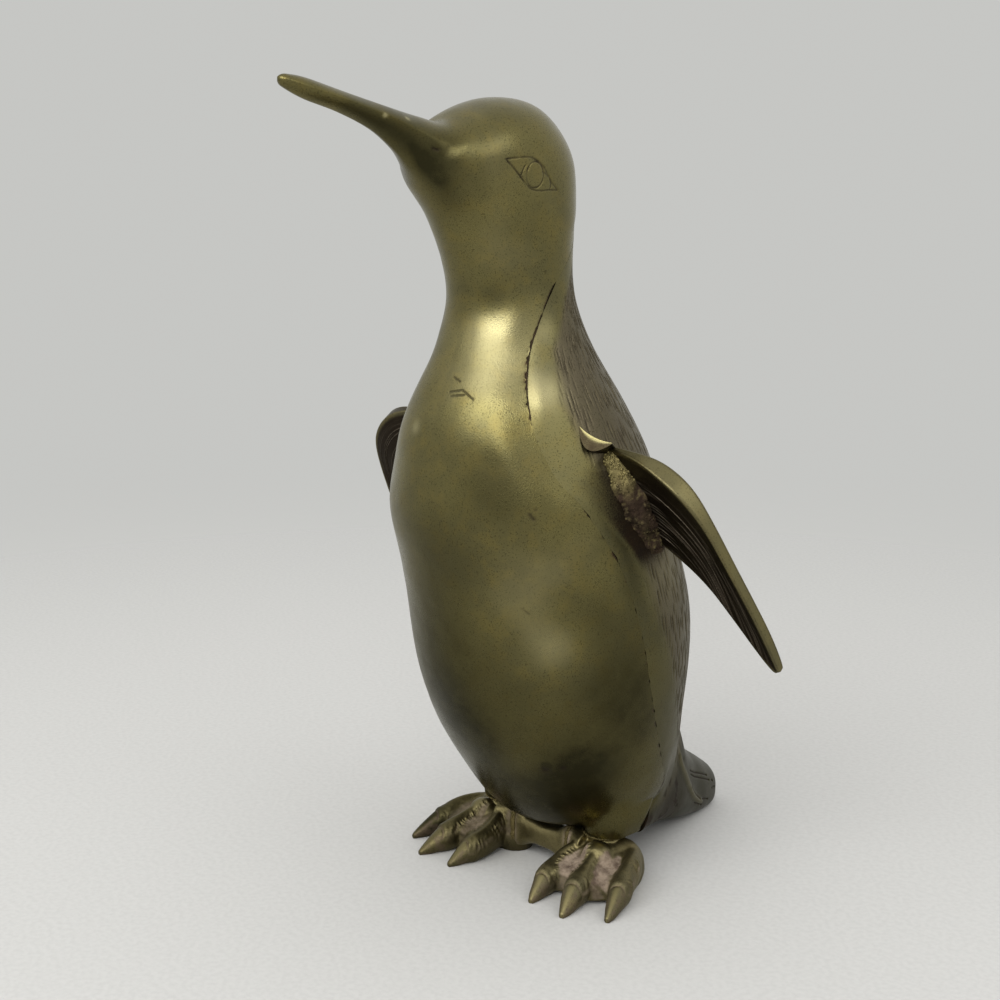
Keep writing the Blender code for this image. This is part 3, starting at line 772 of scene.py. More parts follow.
class BeadRun(NodeTool):
    """Lays a lumpy run of filler along a path of edges."""

    def __init__(self) -> None:
        """Builds the tree."""
        super().__init__("bead_run", ("Step", "Radius", "Lump"))
        graph, radius = self.graph, self.take("Radius")
        path = graph.wire("GeometryNodeMeshToCurve", None, {"Mesh": self.take("Geometry")})
        even = graph.wire("GeometryNodeResampleCurve", {"mode": "LENGTH"},
                          {"Curve": path, "Length": self.take("Step")})
        ring = graph.wire("GeometryNodeCurvePrimitiveCircle", None, {"Resolution": 10, "Radius": radius})
        run = graph.wire("GeometryNodeCurveToMesh", None,
                         {"Curve": even, "Profile Curve": ring, "Fill Caps": True})
        lumps = graph.wire("ShaderNodeTexNoise", None, {
            "Vector": graph.wire("GeometryNodeInputPosition"), "Scale": 900.0, "Detail": 3.0}, "Fac") - 0.5
        rough = self.push(run, lumps * self.take("Lump"))
        beads = self.balls(even, radius, (0.5, 1.25), 1.0, (0.0, 0.0, 0.0))
        joined = graph.wire("GeometryNodeJoinGeometry", None, {"Geometry": [rough, beads]})
        smooth = graph.wire("GeometryNodeSetShadeSmooth", None, {"Geometry": joined})
        self.finish(self.store(self.store(smooth, Mark.DIRT, 0.75), Mark.GRAIN, 1.0))


# The body's surface


@dataclass
class BodySurface:
    """The outer surface of the body, by station along it and angle round from the front."""
    # Level sections: height, centre, half depth, half width
    trunk: Rows = tenths((
        (180, -90, 60, 60), (200, -70, 250, 250), (280, -75, 345, 350), (410, -105, 405, 410),
        (600, -165, 460, 460), (810, -195, 500, 500), (1010, -215, 512, 510), (1210, -267, 502, 502),
        (1410, -335, 487, 485), (1600, -352, 433, 430), (1780, -380, 360, 358), (1950, -392, 268, 266),
        (2120, -415, 220, 220)))
    # Tilted sections of head and beak: throat y, z, crown y, z, half width
    head: Rows = tenths((
        (-657, 2230, -200, 2290, 216), (-698, 2310, -178, 2450, 220), (-738, 2380, -203, 2620, 227),
        (-772, 2425, -345, 2755, 228), (-802, 2462, -515, 2777, 208), (-832, 2500, -648, 2740, 160),
        (-870, 2540, -735, 2690, 110), (-925, 2592, -835, 2702, 85), (-1020, 2653, -960, 2727, 67),
        (-1150, 2701, -1125, 2763, 53), (-1275, 2733, -1270, 2796, 42), (-1352, 2764, -1341, 2803, 27),
        (-1366, 2779, -1360, 2800, 13)))
    # How round each of those is
    roundness: Tuple[float, ...] = (2.0, 2.0, 2.0, 2.0, 2.0, 2.0, 1.8, 1.5, 1.4, 1.4, 1.5, 1.7, 2.0)
    beak_tip: Triple = (0.0, -0.1372, 0.2793)
    steps: int = 40
    fairing: int = 180
    table: Array = field(init=False)
    last: float = field(init=False)
    neck: int = field(init=False)

    def __post_init__(self) -> None:
        """Fairs the sections into one dense table, stiffer on the trunk than on the beak."""
        rows = [(c - d, h, c + d, h, w, 2.0) for h, c, d, w in self.trunk]
        rows += [(*row, power) for row, power in zip(self.head, self.roundness)]
        self.last = len(rows) - 1.0
        self.neck = len(self.trunk) - 1
        table = spline(rows, self.steps)
        station = np.arange(len(table)) / self.steps
        stiff = 0.25 * ramp(0.8, 2.5, station)
        stiff *= 1.0 - 0.92 * ramp(self.neck + 3.0, self.neck + 7.0, station)
        for _ in range(self.fairing):
            table[1:-1] += stiff[1:-1, None] * (table[2:] - 2 * table[1:-1] + table[:-2])
        self.table = table

    def sections(self, station: Array) -> List[Array]:
        """Throat y and z, crown y and z, half width and roundness of the section at each station."""
        known, place = np.arange(len(self.table)), np.asarray(station, float) * self.steps
        return [np.interp(place, known, column) for column in self.table.T]

    def points(self, station: Array, angle: Array) -> Array:
        """The points of the surface.

        Args:
            station: Stations along the body.
            angle: Radians round from the front.

        Returns:
            Places in metres.
        """
        front_y, front_z, back_y, back_z, half_width, roundness = self.sections(station)
        ahead, across = rounded(angle, roundness)
        y = 0.5 * ((front_y + back_y) - (back_y - front_y) * ahead)
        z = 0.5 * ((front_z + back_z) - (back_z - front_z) * ahead)
        return np.stack([half_width * across, y, z], -1)

    def slopes(self, station: Array, angle: Array) -> Tuple[Array, Array]:
        """How the points move along and round the body.

        Args:
            station: Stations along the body.
            angle: Radians round from the front.

        Returns:
            Metres per station and per radian.
        """
        step = 0.03
        low, high = np.maximum(station - step, 0.0), np.minimum(station + step, self.last)
        along = (self.points(high, angle) - self.points(low, angle)) / (high - low)[..., None]
        around = (self.points(station, angle + step) - self.points(station, angle - step)) / (2 * step)
        return along, around

    def inside(self, station: Array, angle: Array, depth: Any) -> Array:
        """Points that lie a depth under the surface; a negative depth is outside it."""
        facing = unit(np.cross(*self.slopes(station, angle)[::-1]))
        return self.points(station, angle) - np.asarray(depth)[..., None] * facing

    def heights(self, station: Array) -> Array:
        """The height of the middle of each section."""
        _, front_z, _, back_z, _, _ = self.sections(station)
        return 0.5 * (front_z + back_z)

    def station_at(self, height: Array) -> Array:
        """The trunk or neck stations whose middles are at these heights."""
        known = np.arange(0.0, self.neck + 4.0, 1.0 / self.steps)
        return np.interp(height, self.heights(known), known)

    def reading(self, places: Array) -> Tuple[Array, Array, Array]:
        """Where places lie round the trunk.

        Args:
            places: Places near the trunk, one row each.

        Returns:
            Station, angle from the front without its sign, and distance outside the surface.
        """
        station = self.station_at(places[:, 2])
        front_y, _, back_y, _, half_width, _ = self.sections(station)
        ahead = (0.5 * (front_y + back_y) - places[:, 1]) / (0.5 * (back_y - front_y))
        across = np.abs(places[:, 0]) / half_width
        outside = (np.hypot(ahead, across) - 1.0) * half_width
        return station, np.arctan2(across, ahead), outside

    def rows(self, start: float, end: float, pitch: float) -> Array:
        """Stations whose sections lie about a pitch apart where they are furthest apart.

        Args:
            start: The first.
            end: The last.
            pitch: Metres.

        Returns:
            The stations.
        """
        station = np.linspace(start, end, 2000)
        runs = [np.linalg.norm(np.diff(self.points(station, np.full_like(station, a)), axis=0), axis=1)
                for a in (0.0, 0.5 * math.pi, math.pi)]
        length = np.concatenate([[0.0], np.cumsum(np.max(runs, axis=0))])
        count = max(2, int(round(length[-1] / pitch)))
        return np.interp(np.linspace(0.0, length[-1], count + 1), length, station)


@dataclass
class Seam:
    """The line along which the two body castings meet: height, and degrees round from the front."""
    body: BodySurface
    line: Pairs = (
        (0.018, 88.0), (0.02, 88.0), (0.028, 97.0), (0.037, 103.0), (0.047, 98.0),
        (0.066, 91.0), (0.081, 86.0), (0.1, 82.0), (0.1265, 77.5), (0.1445, 69.0),
        (0.155, 59.0), (0.166, 53.2), (0.174, 51.2), (0.185, 51.0), (0.196, 56.3),
        (0.207, 71.0), (0.217, 90.0), (0.2245, 116.0), (0.231, 146.0), (0.234, 180.0))
    # How the seam stands open at each height: half of its width, and how much of it is closed
    gaps: Triples = (
        (0.018, 0.0001, 0.6), (0.034, 0.00014, 0.5), (0.044, 0.00024, 0.0), (0.085, 0.00024, 0.2),
        (0.1, 0.00018, 0.5), (0.112, 0.00024, 0.2), (0.122, 0.00032, 0.0), (0.126, 0.00038, -0.15),
        (0.143, 0.00036, -0.15), (0.148, 0.00005, 0.9), (0.169, 0.00005, 0.9), (0.172, 0.00044, 0.05),
        (0.188, 0.00046, 0.05),
        (0.195, 0.00042, -0.1), (0.2, 0.00036, -0.8), (0.216, 0.00028, -0.8), (0.2185, 0.0, 1.0),
        (0.234, 0.0, 1.0))
    steps: int = 30
    pit_size: float = 0.0012

    def path(self) -> Tuple[Array, Array]:
        """The left half of the line, from the bottom to the nape.

        Returns:
            Stations, and angles in radians.
        """
        heights, degrees = np.array(self.line).T
        rows = np.stack([self.body.station_at(heights), degrees], -1)
        station, angle = spline(rows, self.steps).T
        return np.maximum.accumulate(station), np.radians(np.minimum(angle, 180.0))

    def half_gap(self, places: Array) -> Array:
        """Half of the open width at places along the seam, ragged where it is open.

        Args:
            places: Places, one row each.

        Returns:
            Metres.
        """
        known, gap, closed = np.array(self.gaps).T
        wide = np.interp(places[:, 2], known, gap)
        closed = np.interp(places[:, 2], known, closed)
        rag = rough_noise(places, self.pit_size, 5)
        return wide * ramp(closed, closed + 0.5, rag) * (1.0 + 0.5 * rag)

    def distance(self, places: Array) -> Array:
        """The distance of each place from the seam on its own side."""
        return distance_to_line(left_half(places), self.body.points(*self.path())[::6])

    def edge(self, station: Array, sign: float) -> Array:
        """The angle at which a casting ends at each station.

        Args:
            station: Stations along the body.
            sign: 1 for the back casting, -1 for the front casting.

        Returns:
            Angles in radians, up to half a turn.
        """
        path_station, path_angle = self.path()
        places = self.body.points(path_station, path_angle)
        along, around = self.body.slopes(path_station, path_angle)
        run = np.gradient(places, axis=0)
        run[-1] = (-1.0, 0.0, 0.0)
        aside = unit(np.cross(run, np.cross(around, along))) * self.half_gap(places)[:, None] * sign
        a, b, c = ((u * v).sum(-1) for u, v in ((along, along), (along, around), (around, around)))
        p, q = (aside * along).sum(-1), (aside * around).sum(-1)
        step = (p * c - q * b) / (a * c - b * b)
        turn = (q * a - p * b) / (a * c - b * b)
        moved = np.maximum.accumulate(path_station + step)
        return np.minimum(np.interp(station, moved, path_angle + turn), math.pi)


@dataclass(frozen=True)
class Bench:
    """Where pieces are finished: the way from the castings' frame to the model's, finishes and tools."""
    shift: float
    brass: Dict[Slot, Material]
    cutter: FeatherCutter
    scatter: GrainScatter
    runner: BeadRun

    def move(self, mesh: Mesh) -> Mesh:
        """Moves a mesh along Y, once its shape is done, and keeps it on the ground.

        Args:
            mesh: The mesh, changed in place.

        Returns:
            The same mesh.
        """
        places = positions(mesh)
        places[:, 1] += self.shift
        places[:, 2] = np.maximum(places[:, 2], 0.0)
        set_positions(mesh, places)
        return mesh

    def place(self, name: str, mesh: Mesh, side: Side = Side.LEFT) -> Object:
        """A piece in its place, from its mesh or that of its left twin."""
        return new_object(name, self.move(mirrored(mesh) if side is Side.RIGHT else mesh))

    def dress(self, piece: Object, slot: Slot, node: str) -> None:
        """Gives a finished piece the material of its slot and its body, and hides the part of the model that
        it stands for.

        Args:
            piece: The piece.
            slot: Its slot.
            node: The node it stands for.
        """
        if not any(piece.data.materials):
            piece.data.materials.clear()
            piece.data.materials.append(self.brass[slot])
        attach(piece, BODY_NAME)
        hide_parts(node)
        LOG.info("%s: %d faces", piece.name, len(piece.data.polygons))


@dataclass(frozen=True)
class Blemish:
    """A small dent, pit or scratch on the smooth front."""
    places: Triples
    width: float
    depth: float
    stain: float


@dataclass(frozen=True)
class Smudge:
    """A soft patch on the metal, strongest at its middle."""
    place: Triple
    reach: float
    amount: float

    @classmethod
    def rows(cls, *rows: Sequence[float]) -> Tuple["Smudge", ...]:
        """Patches from rows of place and reach, in tenths of a millimetre, and amount."""
        return tuple(cls(tenths((x, y, z)), tenths(reach), amount) for x, y, z, reach, amount in rows)

    def strength(self, places: Array) -> Array:
        """How much of the patch each place gets."""
        return self.amount * bell(np.linalg.norm(places - self.place, axis=1), self.reach)


@dataclass
class BodyCasting:
    """What the two body castings have in common: their edges turn in, and a vent is cut below."""
    body: BodySurface
    seam: Seam
    columns: int
    lip_depths: Tuple[float, ...] = (0.00012, 0.0006, 0.0025)
    vent_depth: float = 0.005

    def _columns(self) -> Tuple[Array, Array]:
        """The columns of a casting's grid, with its turned-in edges.

        Returns:
            Shares of the way from the middle to the edges, and depths.
        """
        lips = np.array(self.lip_depths)
        ends = np.ones(len(lips))
        share = np.concatenate([-ends, np.linspace(-1.0, 1.0, self.columns + 1), ends])
        return share, np.concatenate([lips[::-1], np.zeros(self.columns + 1), lips])

    def _skin(self, shell: Shell, points: Array) -> Array:
        """Adds the casting's skin and the wall of its vent to a shell.

        Args:
            shell: What the casting is collected in.
            points: Places, rows by columns.

        Returns:
            The points' numbers, with the top of the vent first.
        """
        well = points[:1].copy()
        well[..., 2] += self.vent_depth
        numbers = shell.grid(np.concatenate([well, points]))
        shell.skin(numbers)
        return numbers


@dataclass
class FrontCasting(BodyCasting):
    """Smooth casting of head, beak, breast and belly, with engraved eyes."""
    columns: int = 104
    pitch: float = 0.0008
    # Low swellings of breast and neck: height of the middle, reach, rise
    swellings: Triples = ((0.168, 0.017, 0.0016), (0.1925, 0.0115, 0.0011))
    # Shallow waves of the filed metal: height of the middle, reach, and how much it leans upward
    waves: Triples = ((0.2045, 0.008, 0.07), (0.158, 0.012, -0.06))
    # Level sections of the left thigh: height, x and y of the middle, half width, half depth
    thigh: Rows = tenths((
        (185, 260, -168, 88, 83), (230, 263, -160, 96, 96), (300, 264, -142, 99, 115),
        (380, 255, -135, 100, 121), (460, 235, -135, 85, 80)))
    # Roundness of the thighs before and behind
    thigh_roundness: Pair = (2.3, 14.0)
    thigh_blend: float = 0.0034
    # The angle above the thighs is filled out from these heights up, and before this place
    thigh_from: Pair = (0.0187, 0.0205)
    thigh_back: float = -0.0095
    # The engraved eye seen from the side: y and z of its lids, and the iris
    upper_lid: Pairs = tenths((
        (-648, 2569), (-602, 2574), (-547, 2576), (-496, 2554), (-466, 2520), (-446, 2496), (-416, 2474)))
    lower_lid: Pairs = tenths((
        (-648, 2569), (-607, 2534), (-556, 2489), (-532, 2475), (-500, 2471), (-460, 2474), (-416, 2474)))
    iris: Tuple[float, float, float, float] = (-0.0526, 0.2522, 0.0037, 0.0042)
    lash: Pairs = tenths(((-570, 2551), (-578, 2536), (-584, 2519)))
    wink: Pairs = tenths(((-488, 2530), (-462, 2515), (-452, 2492), (-458, 2474)))
    eye_width: float = 0.0003
    eye_depth: float = 0.00042
    # The eyes are on the sides of the head, further out than this
    eye_from: float = 0.015
    # How far round the eyes and round a blemish the faces are finer
    eye_margin: float = 0.002
    blemish_margin: float = 0.0035
    sharp: float = math.radians(55.0)
    blemishes: Tuple[Blemish, ...] = (
        Blemish(((0.0097, -0.0834, 0.2595), (0.0092, -0.0846, 0.26)), 0.0005, 0.00022, 1.0),
        Blemish(((0.0346, -0.0667, 0.144), (0.0355, -0.066, 0.1425)), 0.00055, 0.0001, 0.9),
        Blemish(((0.036, -0.0655, 0.1455),), 0.0005, 0.0001, 0.8),
        Blemish(((0.0248, -0.0487, 0.0496),), 0.0013, 0.00012, 0.95),
        Blemish(((0.0301, -0.0452, 0.0508), (0.0306, -0.0455, 0.0497)), 0.0009, 0.00012, 0.95),
        Blemish(((0.0033, -0.0723, 0.1815), (0.0082, -0.0709, 0.1824)), 0.00026, 0.0002, 0.6),
        Blemish(((0.0043, -0.0728, 0.1803), (0.0095, -0.0713, 0.1809)), 0.00026, 0.0002, 0.6),
        Blemish(((0.0082, -0.0709, 0.1824), (0.0128, -0.0708, 0.1798)), 0.00028, 0.0002, 0.65),
        Blemish(((0.0032, -0.0699, 0.1862), (0.0063, -0.0701, 0.1849)), 0.00028, 0.00018, 0.7),
        Blemish(((0.0295, -0.0648, 0.1115), (0.0315, -0.0637, 0.1095)), 0.00035, 0.00018, 0.6),
        Blemish(((0.044, -0.0515, 0.136), (0.0473, -0.0443, 0.135)), 0.0004, 0.00022, 0.5))
    # Patches of painted shade and painted reflection, with a few real dark spots; where the amount is
    # negative, painted highlights and a few real bright scuffs
    stains_and_painted_light: Tuple[Smudge, ...] = Smudge.rows(
        (43, -941, 2624, 160, 0.42), (93, -819, 2534, 110, 0.42), (145, -700, 2440, 120, -0.12),
        (145, -595, 2260, 110, -0.18), (110, -610, 2125, 60, 0.45), (320, -390, 450, 150, 0.5),
        (100, -450, 300, 220, 0.3), (53, -613, 587, 220, 0.35), (370, -560, 990, 130, -0.8),
        (286, -674, 1180, 140, -0.22), (240, -730, 1330, 110, -0.15), (380, -556, 1240, 80, -0.1),
        (-22, -730, 1029, 240, 0.38), (12, -803, 1326, 180, 0.38), (240, -728, 1520, 120, 0.42),
        (443, -479, 1072, 120, 0.42), (469, -379, 848, 170, 0.38), (479, -257, 716, 180, 0.3),
        (128, -603, 2042, 70, -0.48), (165, -615, 1920, 110, -0.32), (150, -690, 1800, 100, -0.1),
        (375, -565, 1560, 100, 0.3), (-110, -650, 700, 180, 0.3), (132, -730, 1725, 80, 0.3),
        (129, -788, 2595, 80, 0.3), (77, -763, 2441, 80, 0.35), (62, -1016, 2695, 9, -1.5),
        (60, -922, 2692, 10, -1.5), (-87, -756, 1689, 22, -0.6), (290, -656, 1645, 80, 0.22),
        (269, -727, 1487, 100, 0.12), (236, -694, 1141, 120, -0.15), (184, -546, 531, 120, -0.2),
        (258, -493, 515, 15, 0.8), (299, -455, 509, 13, 0.8), (274, -291, 281, 30, -0.9),
        (185, -724, 2565, 70, -0.25))
    # Pits beside the neck seam: how far from it, how deep, and how many at each height
    pit_reach: float = 0.0009
    pit_depth: float = 0.0004
    pit_heights: Pairs = ((0.17, 0.0), (0.1725, 1.0), (0.196, 1.0), (0.203, 0.0))
    # The dark line under the beak and down the side of the throat, its reach and its strength
    shadow: Triples = tenths((
        (42, -1136, 2707), (42, -1059, 2678), (50, -986, 2648), (61, -936, 2624), (63, -897, 2595),
        (66, -858, 2554), (80, -820, 2510)))
    shadow_reach: float = 0.0036
    shadow_depth: float = 0.55

    def _grid(self) -> Tuple[Array, Array, Array, int]:
        """The grid of the skin, with its turned-in edges.

        Returns:
            Stations, angles, depths, and the first row that goes all round.
        """
        body = self.body
        nape = self.seam.path()[0][-1]
        low = body.rows(0.0, nape, self.pitch)
        station = np.concatenate([low, body.rows(nape, body.last, self.pitch)[1:]])
        edge = np.where(station < nape, self.seam.edge(station, -1.0), math.pi)
        turned = np.where(edge < math.pi - 1e-4, 1.0, 0.0)
        share, depth = self._columns()
        grid_station = np.repeat(station[:, None], len(share), 1)
        return (grid_station, edge[:, None] * share, turned[:, None] * depth,
                int(np.argmax(turned < 0.5)))

    def mesh(self) -> Mesh:
        """The closed casting without its thighs.

        Returns:
            The new mesh.
        """
        station, angle, depth, whole = self._grid()
        flat = [part.ravel() for part in (station, angle, depth)]
        points = self.body.inside(*flat).reshape(*station.shape, 3)
        shell = Shell()
        numbers = self._skin(shell, points)
        shell.fan(numbers[-1], self.body.beak_tip)
        shell.skin(numbers[:whole + 2, [-1, 0]])
        shell.faces.append(numbers[0].tolist())
        return shell.mesh("front_casting")

    def _thigh_mesh(self) -> Mesh:
        """The left thigh, a rounded stump that runs on into the belly.

        Returns:
            The new mesh.
        """
        rows = spline(self.thigh, 8)
        height, x, y, wide, deep = (rows[:, k][:, None] for k in range(5))
        turn = circle(96)[None, :]
        ahead, across = rounded(turn, np.where(np.cos(turn) > 0.0, *self.thigh_roundness))
        rings = np.stack([x + wide * across, y - deep * ahead, height + 0.0 * across], -1)
        return Shell().tube(rings).mesh("thigh")

    def _grow_thighs(self, mesh: Mesh) -> Mesh:
        """The casting with both thighs grown in and the angle above them filled out.

        Args:
            mesh: The casting without them.

        Returns:
            The new mesh.
        """
        piece = new_object("blank", mesh)
        thigh = self._thigh_mesh()
        for side in Side:
            fuse(piece, new_object("stump", thigh.copy() if side is Side.LEFT else mirrored(thigh)))
        mesh = piece.data
        bpy.data.objects.remove(piece)
        places = positions(mesh)
        rows = spline(self.thigh, 8)
        x, y, wide, deep = (np.interp(places[:, 2], rows[:, 0], rows[:, k]) for k in range(1, 5))
        aside = (np.hypot((np.abs(places[:, 0]) - x) / wide, (places[:, 1] - y) / deep) - 1.0) * deep
        outside = self.body.reading(places)[2]
        near = np.exp(-(outside ** 2 + aside ** 2) / (2 * self.thigh_blend ** 2))
        near *= ramp(*self.thigh_from, places[:, 2]) * (places[:, 1] < self.thigh_back)
        relax(mesh, 0.5 * near, 50)
        return mesh

    def _refine(self, mesh: Mesh) -> None:
        """Splits the faces round the eyes and blemishes.

        Args:
            mesh: The mesh, changed in place.
        """
        eye = np.array(self.upper_lid + self.lower_lid)
        low, high = eye.min(0) - self.eye_margin, eye.max(0) + self.eye_margin
        spots = [np.array(b.places).mean(0) for b in self.blemishes]

        def near(middle: Array) -> Array:
            """Whether places are close to fine work.

            Args:
                middle: Places, one row each.

            Returns:
                True where they are.
            """
            seen = middle[:, 1:]
            close = ((seen > low) & (seen < high)).all(1) & (np.abs(middle[:, 0]) > self.eye_from)
            for spot in spots:
                close |= np.linalg.norm(middle - spot, axis=1) < self.blemish_margin
            return close

        refine(mesh, near, 4)

    def build(self, bench: Bench) -> None:
        """The finished casting, engraved and dressed.

        Args:
            bench: Place, finishes and tools.
        """
        mesh = self._grow_thighs(self.mesh())
        self._refine(mesh)
        places, facing = positions(mesh), normals(mesh)
        seen = places[:, 1:]
        centre_y, centre_z, wide, tall = self.iris
        turn = np.linspace(0.0, 2 * math.pi, 40)
        ring = np.stack([centre_y + wide * np.cos(turn), centre_z + tall * np.sin(turn)], -1)
        lids = [spline(line, 6) for line in (self.upper_lid, self.lower_lid, self.lash, self.wink)]
        waver = 0.0001 * lattice_noise(places, 0.0009, 3)
        reach = np.min([distance_to_line(seen, line) for line in lids + [ring]], axis=0) + waver
        carved = bell(reach, self.eye_width) * (np.abs(places[:, 0]) > self.eye_from)
        carved *= 0.75 + 0.35 * lattice_noise(places, 0.002, 4)
        sink = self.eye_depth * carved
        stain = np.zeros(len(places))
        for blemish in self.blemishes:
            line = np.array(blemish.places + blemish.places[-1:])
            line[-1] += 1e-5
            spot = bell(distance_to_line(places, line) * (1.0 + 0.4 * lattice_noise(places, 0.0006, 9)),
                        blemish.width)
            sink = np.maximum(sink, blemish.depth * spot)
            stain = np.maximum(stain, blemish.stain * spot ** 0.5)
        hammer = 0.0001 * rough_noise(places, 0.016, 21) * ramp(0.022, 0.04, places[:, 2])
        hammer *= 1.0 - ramp(0.24, 0.255, places[:, 2])
        facing_turn = np.arctan2(np.abs(places[:, 0]), -0.035 - places[:, 1])
        from_seam = self.seam.distance(places)
        pits = ramp(-0.1, 0.15, lattice_noise(places, self.seam.pit_size, 7))
        pits *= bell(from_seam, self.pit_reach) * np.interp(places[:, 2], *np.array(self.pit_heights).T)
        sink = np.maximum(sink, self.pit_depth * pits)
        inner = ramp(0.0005, 0.014, from_seam)
        for height, tall, rise in self.swellings:
            hammer += rise * inner * bell(places[:, 2] - height, tall) * bell(facing_turn - 0.4, 0.9)
        for height, tall, lean in self.waves:
            above = places[:, 2] - height
            hammer -= lean * above * bell(above, tall) * inner * bell(facing_turn - 0.4, 0.6)
        set_positions(mesh, places + facing * (hammer - sink)[:, None])
        lips = 0.8 * bell(from_seam, 0.0006)
        lips *= ramp(0.00003, 0.0003, self.seam.half_gap(left_half(places)))
        set_mark(mesh, Mark.DIRT, np.clip(np.maximum(lips, 0.9 * pits), 0.0, 1.0))
        set_mark(mesh, Mark.GROOVE, np.clip(np.maximum(1.1 * carved, stain), 0.0, 1.0))
        # Painted shade and tarnish go to the tarnish mark; painted highlights and bright scuffs go to the
        # polish mark.
        dark = self._tarnish(places)
        set_mark(mesh, Mark.TARNISH, np.clip(dark, 0.0, 1.0))
        set_mark(mesh, Mark.POLISH, np.clip(-dark, 0.0, 1.0))
        piece = bench.place("front_shell", mesh)
        mesh.set_sharp_from_angle(angle=self.sharp)
        bench.dress(piece, Slot.FRONT, "front_casting")

    def _tarnish(self, places: Array) -> Array:
        """How dark the metal is made: darker low on the belly, painted shade and reflection in patches and
        under the beak, and a few real spots; below zero, painted highlights and real scuffs.

        Args:
            places: Places, one row each.

        Returns:
            One number for each place.
        """
        height = places[:, 2]
        # Darker towards the bottom of the belly.
        dark = 0.54 * (1.0 - ramp(0.045, 0.15, height))
        # Painted shade, reflections and highlights in patches, with a few real spots and scuffs.
        for smudge in self.stains_and_painted_light:
            dark += smudge.strength(places)
        from_shadow = distance_to_line(left_half(places), np.array(self.shadow))
        dark += self.shadow_depth * bell(from_shadow, self.shadow_reach)
        return dark + 0.12 * rough_noise(places, 0.018, 91)


